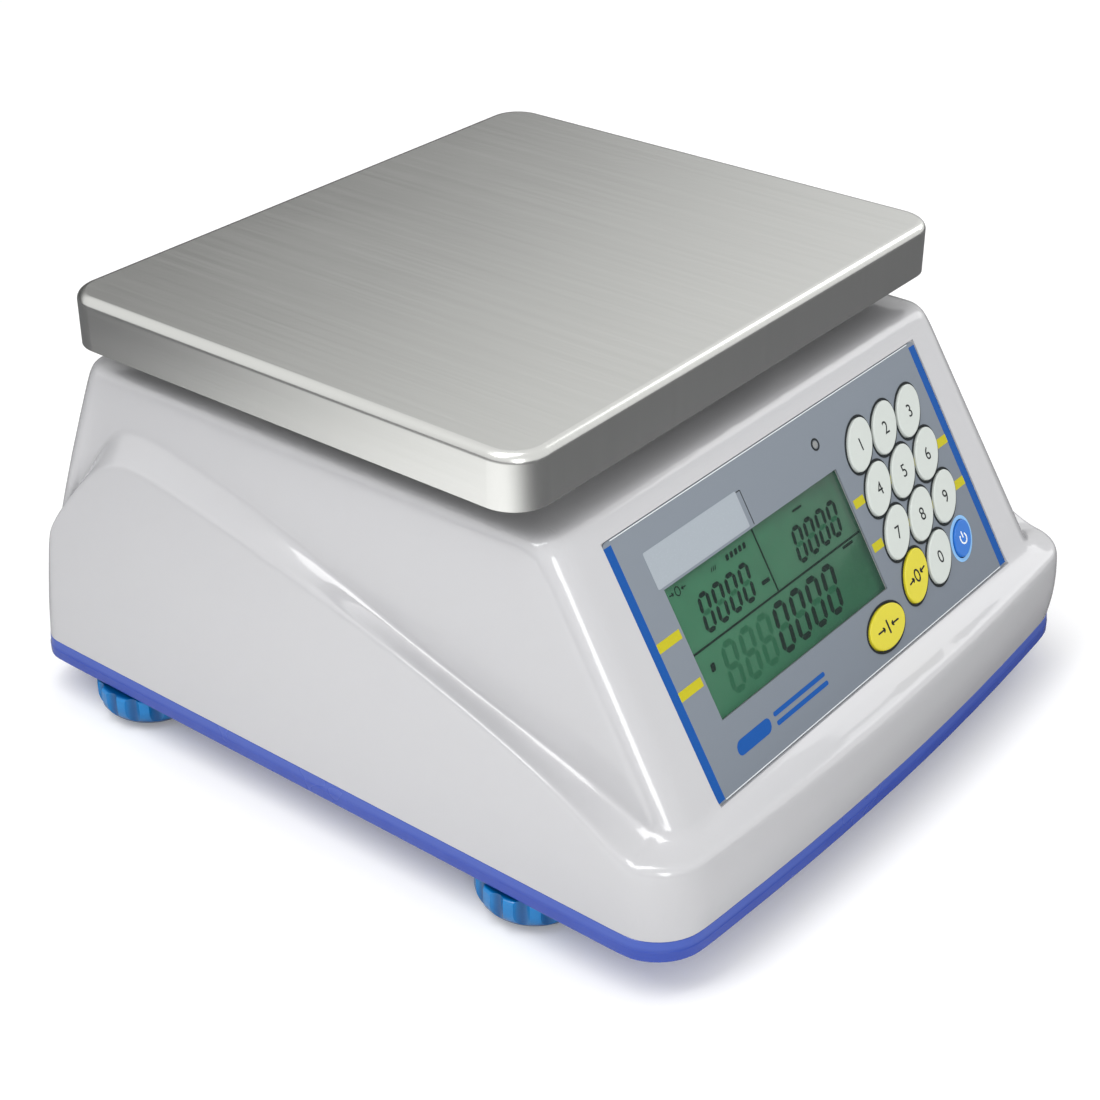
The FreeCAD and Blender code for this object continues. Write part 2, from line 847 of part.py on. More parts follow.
def load_cell():
    front, rear = cell_ends()
    near = pan_centre_y - cell_length / 2.0
    block = box(-cell_width / 2.0, cell_width / 2.0, near, near + cell_length, cell_bottom, cell_top)
    middle = (cell_bottom + cell_top) / 2.0
    cuts = []
    for y in (pan_centre_y - cell_window_pitch / 2.0, pan_centre_y + cell_window_pitch / 2.0):
        cuts.append(Part.makeCylinder(cell_window_radius, cell_width + 2.0,
                                      vec(-cell_width / 2.0 - 1.0, y, middle), vec(1, 0, 0)))
    slot = cell_window_radius / 2.0
    cuts.append(box(-cell_width, cell_width, pan_centre_y - cell_window_pitch / 2.0,
                    pan_centre_y + cell_window_pitch / 2.0, middle - slot, middle + slot))
    for y in front:
        cuts.append(rod(0.0, y, cell_bottom - 1.0, cell_bottom + 15.0, cell_screw_radius))
    for y in rear:
        cuts.append(rod(0.0, y, cell_top - 15.0, cell_top + 1.0, cell_screw_radius))
    return block.cut(cuts)


def cell_plate(places, z0):
    low = min(places) - cell_screw_margin
    high = max(places) + cell_screw_margin
    plate = box(-cell_width / 2.0, cell_width / 2.0, low, high, z0, z0 + cell_spacer)
    holes = [rod(0.0, y, z0 - 1.0, z0 + cell_spacer + 1.0, cell_screw_radius + 0.1) for y in places]
    return plate.cut(holes)


def cap_screw(x, y, seat_z, length, radius, upwards):
    """Socket-head screw with its head's seat at seat_z; upwards tells which way it points."""
    head = Part.makeCylinder(1.7 * radius, 1.1 * radius, vec(0, 0, -1.1 * radius))
    shank = Part.makeCylinder(radius, length + 0.1, vec(0, 0, -0.1))
    socket = Part.makeCylinder(0.85 * radius, 0.6 * radius, vec(0, 0, -1.1 * radius))
    screw = head.fuse(shank).cut(socket)
    if not upwards:
        screw.rotate(vec(0, 0, 0), vec(1, 0, 0), 180.0)
    screw.translate(vec(x, y, seat_z))
    return screw


def cell_base_screws():
    front, _ = cell_ends()
    seat = foot_drop + 3.5
    length = cell_bottom + 12.0 - seat
    return Part.makeCompound([
        cap_screw(0.0, y, seat, length, cell_screw_radius - thread_gap, True) for y in front])


def cell_top_screws():
    _, rear = cell_ends()
    seat = spider_bottom + spider_plate
    return Part.makeCompound([
        cap_screw(0.0, y, seat, spider_plate + cell_spacer + 11.0, cell_screw_radius - thread_gap, False)
        for y in rear])


def overload_stops():
    stops = []
    for x, y in stop_places():
        top = spider_bottom - stop_gap
        stop = rod(x, y, floor_top + 2.0, top, stop_radius)
        rim = [edge for edge in stop.Edges if abs(edge.BoundBox.ZMin - top) < 1e-6]
        stop = stop.makeChamfer(0.6, rim)
        nut = Part.makeCylinder(stop_radius + 2.5, 3.0, vec(x, y, floor_top + stop_boss_height))
        stops.append(stop.fuse(nut))
    return Part.makeCompound(stops)


# ---------------------------------------------------------------- control panel
def panel_overlay():
    sheet = rounded_box(-overlay_half_width, overlay_half_width, -overlay_height, 0.0,
                        -overlay_thickness, 0.0, overlay_corner)
    cuts = [panel_box(lcd_left, lcd_right, lcd_top, lcd_bottom, -1.0, 1.0)]
    for _, u, v, major, minor, slant in key_layout():
        cuts.append(oval(u, v, major + part_gap, minor + part_gap, slant, -1.0, 1.0))
    cuts.append(Part.makeCylinder(led_radius + 0.1, 3.0, vec(led_u, -led_v, -1.5)))
    return on_panel(sheet.cut(cuts))


def display_window():
    gap = 0.15
    back = overlay_thickness + wall_back
    plug = panel_box(lcd_left + gap, lcd_right - gap, lcd_top + gap, lcd_bottom - gap, 0.1, back)
    flange = panel_box(lcd_left - window_flange, lcd_right + window_flange,
                       lcd_top - window_flange, lcd_bottom + window_flange,
                       flange_start(), flange_start() + window_flange_thickness)
    bridge = panel_box(lcd_left + gap, lcd_right - gap, lcd_top + gap, lcd_bottom - gap,
                       back - 0.1, flange_start() + 0.1)
    return on_panel(joined([plug, bridge, flange]))


def flange_start():
    """Depth at which pieces behind the front wall begin."""
    return wall - overlay_sink + 0.35


def lcd_box(depth0, depth1, grow):
    return panel_box(lcd_left - grow, lcd_right + grow, lcd_top - grow, lcd_bottom + grow,
                     depth0, depth1)


def lcd_start():
    return flange_start() + window_flange_thickness + 0.1


def lcd_glass():
    return on_panel(lcd_box(lcd_start(), lcd_start() + lcd_glass_thickness, 1.0))


def lcd_backlight():
    start = lcd_start() + lcd_glass_thickness
    return on_panel(lcd_box(start, start + backlight_thickness, 0.6))


def display_frame():
    start = lcd_start()
    outer = lcd_box(start, display_board_depth, 1.2 + display_frame_wall)
    inner = lcd_box(start - 1.0, display_board_depth + 1.0, 1.2)
    return on_panel(outer.cut(inner))


def display_board():
    left, right, top, bottom = display_board_box()
    board = panel_box(left, right, top, bottom, display_board_depth,
                      display_board_depth + board_thickness)
    holes = [Part.makeCylinder(1.3, 6.0, vec(u, -v, -display_board_depth - 4.0))
             for u, v in display_board_holes()]
    return on_panel(board.cut(holes))


def membrane_depth():
    return display_board_depth - dome_height - 0.2 - membrane_thickness


def keypad_membrane():
    places = [(u, v) for _, u, v, _, _, _ in key_layout()]
    across = [u for u, _ in places]
    down = [v for _, v in places]
    right = min(max(across) + 9.0, overlay_half_width - display_board_margin - 10.0)
    low = membrane_depth()
    pad = panel_box(lcd_right + 1.2 + display_frame_wall + 0.5, right, min(down) - 8.0,
                    max(down) - 2.0, low, low + membrane_thickness)
    tab = panel_box(min(across) - 6.0, right, lcd_bottom + 1.2 + display_frame_wall + 0.5,
                    max(down) + 3.0, low, low + membrane_thickness)
    pieces = [pad, tab]
    start = key_depth + key_travel + 0.1
    for u, v in places:
        pieces.append(Part.makeCylinder(plunger_radius, low + 0.5 - start, vec(u, -v, -low - 0.5)))
    return on_panel(joined(pieces))


def keypad_domes():
    domes = []
    ball = dome_radius * dome_radius / (2.0 * dome_height) + dome_height / 2.0
    for _, u, v, _, _, _ in key_layout():
        cap = Part.makeSphere(ball, vec(u, -v, -display_board_depth + dome_height - ball))
        keep = Part.makeCylinder(dome_radius, 2.0, vec(u, -v, -display_board_depth))
        domes.append(on_panel(cap.common(keep)))
    return Part.makeCompound(domes)


def key(u, v, major, minor, slant):
    cap = oval(u, v, major, minor, slant, -key_depth, key_proud)
    top = [edge for edge in cap.Edges if abs(edge.BoundBox.ZMin - key_proud) < 1e-6]
    return on_panel(cap.makeFillet(key_edge, top))


def charging_led():
    lens = Part.makeCylinder(led_radius, display_board_depth, vec(led_u, -led_v, -display_board_depth))
    base = Part.makeCylinder(led_radius + 0.6, 1.5, vec(led_u, -led_v, -display_board_depth))
    return on_panel(lens.fuse(base))


# ---------------------------------------------------------------- boards, battery and leads
def board_part(x0, x1, y0, y1, height):
    base = floor_top + main_board_standoff + board_thickness
    return box(x0, x1, y0, y1, base, base + height)


def main_board():
    low = floor_top + main_board_standoff
    board = box(main_board_x, main_board_x + main_board_width,
                main_board_y, main_board_y + main_board_length, low, low + board_thickness)
    holes = [rod(x, y, low - 1.0, low + board_thickness + 1.0, screw_radius + 0.1)
             for x, y in main_board_holes()]
    board = board.cut(holes)
    middle_x = main_board_x + main_board_width / 2.0
    middle_y = main_board_y + main_board_length / 2.0
    parts = [
        board_part(middle_x - 7.0, middle_x + 7.0, middle_y - 7.0, middle_y + 7.0, 1.6),
        board_part(middle_x + 12.0, middle_x + 22.0, middle_y - 20.0, middle_y - 12.0, 2.2),
        board_part(middle_x - 24.0, middle_x - 12.0, middle_y + 18.0, middle_y + 33.0, 10.0),
        board_part(middle_x - 22.0, middle_x + 2.0, main_board_y + 8.0, main_board_y + 14.0, 6.0),
    ]
    for n in range(3):
        x = middle_x + 4.0 + 9.0 * n
        parts.append(rod(x, middle_y + 27.0, low, low + board_thickness + 9.0, 3.2))
    return joined([board] + parts)


def pan_head_screw(radius, length):
    """Pan-head screw pointing down, its seat at the origin."""
    head = Part.makeCylinder(1.9 * radius, 1.2 * radius)
    rim = [edge for edge in head.Edges if abs(edge.BoundBox.ZMin - 1.2 * radius) < 1e-6]
    head = head.makeFillet(0.5 * radius, rim)
    shank = Part.makeCylinder(radius, length + 0.1, vec(0, 0, -length))
    cross = box(-1.1 * radius, 1.1 * radius, -0.2 * radius, 0.2 * radius, 0.7 * radius, 2.0 * radius)
    other = box(-0.2 * radius, 0.2 * radius, -1.1 * radius, 1.1 * radius, 0.7 * radius, 2.0 * radius)
    return head.fuse(shank).cut([cross, other])


def board_screws():
    screws = []
    seat = floor_top + main_board_standoff + board_thickness
    for x, y in main_board_holes():
        screw = pan_head_screw(screw_radius - thread_gap, main_board_standoff)
        screw.translate(vec(x, y, seat))
        screws.append(screw)
    for u, v in display_board_holes():
        screw = pan_head_screw(1.1, board_thickness + 4.0)
        screw.rotate(vec(0, 0, 0), vec(1, 0, 0), 180.0)
        screw.translate(vec(u, -v, -display_board_depth - board_thickness))
        screws.append(on_panel(screw))
    return Part.makeCompound(screws)


def battery():
    low = floor_top + 0.3
    block = box(battery_x, battery_x + battery_width, battery_y, battery_y + battery_length,
                low, low + battery_height)
    block = block.makeFillet(2.0, [edge for edge in block.Edges
                                   if edge.BoundBox.ZLength > 0.9 * battery_height])
    pieces = [block]
    for x in terminal_places():
        y = battery_y + battery_length - 12.0
        pieces.append(box(x - 0.4, x + 0.4, y - terminal_width / 2.0, y + terminal_width / 2.0,
                          low + battery_height - 1.0, low + battery_height + terminal_height))
    return joined(pieces)


def terminal_places():
    return [battery_x + 9.0, battery_x + battery_width - 9.0]


def battery_strap():
    """Sheet strap over the battery, with a foot on the tray on each side."""
    top = floor_top + 0.3 + battery_height + 0.2
    middle = battery_y + battery_length / 2.0
    near = middle - strap_width / 2.0
    far = middle + strap_width / 2.0
    left, right, _, _ = door_opening()
    t = strap_thickness
    pieces = [
        box(left - t, right + t, near, far, top, top + t),
        box(left - t, left, near, far, floor_top, top + t),
        box(right, right + t, near, far, floor_top, top + t),
        box(left - strap_foot, left, near, far, floor_top, floor_top + t),
        box(right, right + strap_foot, near, far, floor_top, floor_top + t),
    ]
    return joined(pieces)


def battery_leads():
    """Two leads from the terminals, round behind the load cell to the main board."""
    top = floor_top + 0.3 + battery_height + terminal_height
    y = battery_y + battery_length - 12.0
    low = floor_top + 8.0
    leads = []
    for n, x in enumerate(terminal_places()):
        shift = 4.0 * n
        points = [
            vec(x, y, top + 2.2),
            vec(x - 0.5, y, top + 12.0 + shift),
            vec(battery_x + 3.0 + 0.7 * shift, y + 15.0 - shift / 2.0, top + 12.0 + shift),
            vec(battery_x - shift, y + 32.0 + shift, top - 6.0),
            vec(battery_x - 8.0 - shift, y + 38.0 + shift, top - 36.0),
            vec(battery_x - 28.0, y + 41.0 + shift, low + 6.0 + shift),
            vec(15.0, y + 44.0 + shift, low + shift),
            vec(-20.0, y + 42.0 + shift, low + shift),
            vec(main_board_x + 48.0, y + 34.0 + shift, low + 6.0 + shift),
            vec(main_board_x + 41.0 + shift, y + 8.0, low + 20.0),
            vec(main_board_x + 38.0 + shift, main_board_y + main_board_length - 25.0, low + 20.0),
        ]
        leads.append(tube(points, lead_radius))
    return Part.makeCompound(leads)


def load_cell_lead():
    edge = pan_centre_y - cell_length / 2.0
    side = -cell_width / 2.0
    z = (cell_bottom + cell_top) / 2.0 - 4.0
    points = [
        vec(side - 0.1, edge + 34.0, z),
        vec(side - 8.0, edge + 34.0, z),
        vec(side - 14.0, edge + 22.0, z - 6.0),
        vec(side - 24.0, edge + 8.0, floor_top + 6.0),
        vec(main_board_x + main_board_width - 6.0, main_board_y - 12.0, floor_top + 8.0),
        vec(main_board_x + main_board_width - 10.0, main_board_y - 6.0, floor_top + 16.0),
        vec(main_board_x + main_board_width - 12.0, main_board_y + 7.0, floor_top + 16.0),
    ]
    return tube(points, cell_lead_radius)


def ribbon_cable():
    """Flat ribbon from the display board down to the main board, drawn in the side view."""
    turn = FreeCAD.Rotation(vec(1, 0, 0), panel_tilt)
    board_back = -display_board_depth - board_thickness - 0.2
    start = overlay_face + turn.multVec(vec(0, -0.62 * overlay_height, board_back))
    inward = turn.multVec(vec(0, 0, -1))
    end = vec(0, main_board_y + 11.0, floor_top + main_board_standoff + board_thickness + 7.0)
    points = [start, start + inward * 9.0, vec(0, start.y + 26.0, end.z + 34.0),
              vec(0, end.y - 2.0, end.z + 22.0), end]
    curve = Part.BSplineCurve()
    curve.buildFromPolesMultsKnots(points, [4, 1, 4], [0.0, 0.5, 1.0], False, 3)
    left = curve.toShape()
    left.translate(vec(main_board_x + main_board_width / 2.0 - ribbon_width, 0, 0))
    sheet = left.extrude(vec(ribbon_width, 0, 0))
    return sheet.makeOffsetShape(ribbon_thickness, 0.01, fill=True)


def battery_door():
    left, right, near, far = door_opening()
    panel = rounded_box(left + door_gap, right - door_gap, near + door_gap, far - door_gap,
                        foot_drop, foot_drop + door_thickness, 3.0 - door_gap)
    slots = []
    for n in range(5):
        y = mix(near, far, 0.3 + 0.1 * n)
        slots.append(box(left + 14.0, right - 14.0, y - 1.0, y + 1.0, foot_drop - 1.0, foot_drop + 0.8))
    tabs = []
    for y in door_screw_places():
        tabs.append(rounded_box(left - 8.0, left + 4.0, y - 5.0, y + 5.0,
                                foot_drop - 1.2, foot_drop, 3.0))
    door = joined([panel.cut(slots)] + tabs)
    holes = [rod(left - 4.0, y, foot_drop - 3.0, foot_drop + 1.0, screw_radius + 0.1)
             for y in door_screw_places()]
    return door.cut(holes)


def battery_door_screws():
    left = door_opening()[0]
    screws = []
    for y in door_screw_places():
        screw = pan_head_screw(screw_radius - 0.25, floor_thickness + 2.0)
        screw.rotate(vec(0, 0, 0), vec(1, 0, 0), 180.0)
        screw.translate(vec(left - 4.0, y, foot_drop - 1.2))
        screws.append(screw)
    return Part.makeCompound(screws)


def housing_screws():
    screws = []
    for x, y in pillar_places():
        screw = pan_head_screw(screw_radius, 12.0)
        screw.rotate(vec(0, 0, 0), vec(1, 0, 0), 180.0)
        screw.translate(vec(x, y, foot_drop + screw_head_height - 0.9))
        screws.append(screw)
    return Part.makeCompound(screws)


# ---------------------------------------------------------------- inlet and level
def inlet_piece(radius, back, front):
    """Cylinder along Y from back to front, measured outwards from the inlet's seat."""
    return Part.makeCylinder(radius, front - back,
                             vec(inlet_x, inlet_seat_y() + back, inlet_z), vec(0, 1, 0))


def dc_inlet():
    barrel = inlet_piece(inlet_barrel_radius, -inlet_length, 0.5)
    flange = inlet_piece(inlet_flange_radius, 0.0, 1.6)
    socket = inlet_piece(inlet_socket_radius, -9.5, 3.0)
    pin = inlet_piece(inlet_pin_radius, -10.0, -1.0)
    tabs = [box(inlet_x - 3.0, inlet_x + 3.0, inlet_seat_y() - inlet_length - 5.0,
                inlet_seat_y() - inlet_length + 0.5, inlet_z + n - 0.4, inlet_z + n + 0.4)
            for n in (-2.5, 2.5)]
    return joined([barrel.fuse(flange).cut(socket), pin] + tabs)


def dc_inlet_nut():
    outer = Part.makePolygon([
        vec(8.0 * math.cos(math.radians(60.0 * n)), 8.0 * math.sin(math.radians(60.0 * n)))
        for n in range(7)])
    nut = Part.Face(outer).extrude(vec(0, 0, 2.4))
    nut = nut.cut(Part.makeCylinder(inlet_barrel_radius + thread_gap, 6.0, vec(0, 0, -1.0)))
    nut.rotate(vec(0, 0, 0), vec(1, 0, 0), -90.0)
    nut.translate(vec(inlet_x, inlet_seat_y() - 6.0 - 2.5, inlet_z))
    return nut


def level_vial():
    low = deck_height - level_height + 2.1
    vial = rod(level_x, level_y, low, deck_height - 0.2, level_radius)
    top = [edge for edge in vial.Edges if abs(edge.BoundBox.ZMin - deck_height + 0.2) < 1e-6]
    return vial.makeFillet(0.8, top)


def level_bezel():
    seat = level_radius + level_ring
    body = ring(level_x, level_y, deck_height - level_height + 2.1, deck_height,
                seat - 0.15, level_radius + 0.05)
    lip = ring(level_x, level_y, deck_height, deck_height + 1.0, seat + 1.5, level_radius + 0.05)
    return joined([body, lip])


# ---------------------------------------------------------------- feet
def foot_knob(x, y):
    top = foot_drop - knob_clearance
    low = pad_thickness - pad_sunk
    flare = mix(low, top, 0.62)
    profile = Part.Wire([
        Part.LineSegment(vec(0, 0, low), vec(knob_bottom_radius - 1.5, 0, low)).toShape(),
        Part.Arc(vec(knob_bottom_radius - 1.5, 0, low),
                 vec(knob_top_radius - 1.2, 0, mix(low, flare, 0.42)),
                 vec(knob_top_radius, 0, flare)).toShape(),
        Part.LineSegment(vec(knob_top_radius, 0, flare), vec(knob_top_radius, 0, top - 1.0)).toShape(),
        Part.Arc(vec(knob_top_radius, 0, top - 1.0), vec(knob_top_radius - 0.3, 0, top - 0.3),
                 vec(knob_top_radius - 1.0, 0, top)).toShape(),
        Part.LineSegment(vec(knob_top_radius - 1.0, 0, top), vec(0, 0, top)).toShape(),
        Part.LineSegment(vec(0, 0, top), vec(0, 0, low)).toShape(),
    ])
    knob = Part.Face(profile).revolve(vec(0, 0, 0), vec(0, 0, 1), 360.0)
    cuts = [rod(0.0, 0.0, low - 1.0, pad_thickness, pad_radius + 0.1)]
    for n in range(knob_flutes):
        angle = 2.0 * math.pi * n / knob_flutes
        reach = knob_top_radius + 0.45 * knob_flute_radius
        cuts.append(rod(reach * math.cos(angle), reach * math.sin(angle),
                        low - 1.0, top + 1.0, knob_flute_radius))
    cuts.append(rod(0.0, 0.0, pad_thickness + 1.5, top + 1.0, stud_radius))
    knob = knob.cut(cuts)
    knob.translate(vec(x, y, 0))
    return knob


def foot_stud(x, y):
    low = pad_thickness + 1.5
    stud = rod(x, y, low, low + stud_length, stud_radius)
    top = [edge for edge in stud.Edges if abs(edge.BoundBox.ZMin - low - stud_length) < 1e-6]
    return stud.makeChamfer(0.8, top)


def foot_pad(x, y):
    pad = rod(x, y, 0.0, pad_thickness, pad_radius)
    low = [edge for edge in pad.Edges if abs(edge.BoundBox.ZMax) < 1e-6]
    return pad.makeChamfer(0.5, low)


def foot_inserts():
    return Part.makeCompound([
        ring(x, y, foot_drop, foot_drop + insert_height, insert_radius, stud_radius + thread_gap)
        for x, y in foot_places().values()])


# ---------------------------------------------------------------- every piece, by node name
def all_pieces():
    front, rear = cell_ends()
    pieces = {
        "top_housing": top_housing(),
        "base_tray": base_tray(),
        "weighing_pan": weighing_pan(),
        "pan_cushions": pan_cushions(),
        "platform_spider": platform_spider(),
        "load_cell": load_cell(),
        "cell_base_spacer": cell_plate(front, floor_top + cell_pad_height),
        "cell_top_spacer": cell_plate(rear, cell_top),
        "cell_base_screws": cell_base_screws(),
        "cell_top_screws": cell_top_screws(),
        "overload_stops": overload_stops(),
        "panel_overlay": panel_overlay(),
        "display_window": display_window(),
        "lcd_glass": lcd_glass(),
        "lcd_backlight": lcd_backlight(),
        "display_frame": display_frame(),
        "display_board": display_board(),
        "keypad_membrane": keypad_membrane(),
        "keypad_domes": keypad_domes(),
        "charging_led": charging_led(),
        "main_board": main_board(),
        "board_screws": board_screws(),
        "battery": battery(),
        "battery_strap": battery_strap(),
        "battery_leads": battery_leads(),
        "load_cell_lead": load_cell_lead(),
        "ribbon_cable": ribbon_cable(),
        "battery_door": battery_door(),
        "battery_door_screws": battery_door_screws(),
        "housing_screws": housing_screws(),
        "dc_inlet": dc_inlet(),
        "dc_inlet_nut": dc_inlet_nut(),
        "level_vial": level_vial(),
        "level_bezel": level_bezel(),
        "foot_inserts": foot_inserts(),
    }
    for name, u, v, major, minor, slant in key_layout():
        pieces[name] = key(u, v, major, minor, slant)
    for place, (x, y) in foot_places().items():
        pieces["foot_%s_knob" % place] = foot_knob(x, y)
        pieces["foot_%s_stud" % place] = foot_stud(x, y)
        pieces["foot_%s_pad" % place] = foot_pad(x, y)
    return pieces


def main():
    os.makedirs("parts", exist_ok=True)
    for name, shape in all_pieces().items():
        if not shape.isValid() or shape.Volume <= 0.0:
            print("check", name, "valid", shape.isValid(), "volume", shape.Volume)
        shape.exportStep(os.path.join("parts", name + ".step"))
        print("%-24s solids %d volume %.0f" % (name, len(shape.Solids), shape.Volume))


if __name__ == "__main__":
    main()
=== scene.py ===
"""Looks of a compact retail bench scale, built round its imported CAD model."""

import logging
import math
from dataclasses import dataclass
from enum import Enum
from typing import Callable, Iterable, Sequence, Union

import bmesh
import bpy
from mathutils import Matrix, Vector


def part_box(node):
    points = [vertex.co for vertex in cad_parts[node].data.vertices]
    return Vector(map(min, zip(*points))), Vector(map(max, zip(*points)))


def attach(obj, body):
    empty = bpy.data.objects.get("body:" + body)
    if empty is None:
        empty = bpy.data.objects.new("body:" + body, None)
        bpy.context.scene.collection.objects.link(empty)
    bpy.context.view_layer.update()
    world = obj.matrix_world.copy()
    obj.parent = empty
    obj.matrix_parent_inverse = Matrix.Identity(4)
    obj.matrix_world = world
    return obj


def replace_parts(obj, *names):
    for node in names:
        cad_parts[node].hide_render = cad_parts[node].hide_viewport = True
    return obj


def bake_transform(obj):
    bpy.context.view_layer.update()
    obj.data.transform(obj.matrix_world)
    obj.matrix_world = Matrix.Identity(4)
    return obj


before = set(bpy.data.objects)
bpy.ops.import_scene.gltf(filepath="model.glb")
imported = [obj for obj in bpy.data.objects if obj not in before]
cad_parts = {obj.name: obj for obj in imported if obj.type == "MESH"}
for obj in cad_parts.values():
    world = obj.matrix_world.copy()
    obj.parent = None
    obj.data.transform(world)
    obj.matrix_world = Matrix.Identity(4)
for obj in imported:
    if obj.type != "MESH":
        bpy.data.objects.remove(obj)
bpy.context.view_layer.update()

LOG = logging.getLogger("bench_scale")

Rgb = tuple[float, float, float]
Point = tuple[float, float, float]
Place = tuple[float, float]
MM = 0.001
MILLIMETRES = Matrix.Scale(MM, 4)
SMOOTH_ANGLE = math.radians(35.0)
SIDES = (-1.0, 1.0)

PANEL_TILT = math.radians(58.4)
BODY = "scale_body"
PLATFORM = "platform"
PAN = "pan"


class Wear(Enum):
    """How far a surface has lost its first polish."""

    FRESH = 0.0
    HANDLED = 0.5


class Segment(Enum):
    """Bars of a seven-bar digit, by the letters display makers give them."""

    A = "a"
    B = "b"
    C = "c"
    D = "d"
    E = "e"
    F = "f"
    G = "g"


ZERO_BARS = (Segment.A, Segment.B, Segment.C, Segment.D, Segment.E, Segment.F)


# ---------------------------------------------------------------- shader maths
def operator(operation: str, swapped: bool = False) -> Callable:
    """Makes the Signal method of one Python operator.

    Args:
        operation: the Math node's operation.
        swapped: whether the other value comes first.

    Returns:
        The method.
    """

    def method(self: "Signal", *others: "Number") -> "Signal":
        return self.combine(operation, *((*others, self) if swapped else (self, *others)))

    return method


class Signal:
    """A shader value that Python's operators extend with Math nodes."""

    __add__ = operator("ADD")
    __radd__ = operator("ADD", swapped=True)
    __sub__ = operator("SUBTRACT")
    __rsub__ = operator("SUBTRACT", swapped=True)
    __mul__ = operator("MULTIPLY")
    __pow__ = operator("POWER")
    __abs__ = operator("ABSOLUTE")

    def __init__(self, graph: "Graph", socket: bpy.types.NodeSocket) -> None:
        """Wraps a node's output.

        Args:
            graph: the graph the node belongs to.
            socket: the output to read.
        """
        self.graph = graph
        self.socket = socket

    def combine(self, operation: str, *values: "Number") -> "Signal":
        """Adds one Math node.

        Args:
            operation: the node's operation.
            values: its inputs, in order.

        Returns:
            The node's output.
        """
        node = self.graph.add("ShaderNodeMath", {"operation": operation}, dict(enumerate(values)))
        return Signal(self.graph, node.outputs[0])

    def ramp(self, low: float, high: float) -> "Signal":
        """Runs smoothly from 0 at low to 1 at high.

        Args:
            low: value that gives 0.
            high: value that gives 1.

        Returns:
            The eased value.
        """
        node = self.graph.add(
            "ShaderNodeMapRange",
            {"interpolation_type": "SMOOTHSTEP"},
            {"Value": self, "From Min": low, "From Max": high},
        )
        return Signal(self.graph, node.outputs[0])


Number = Union[Signal, float]


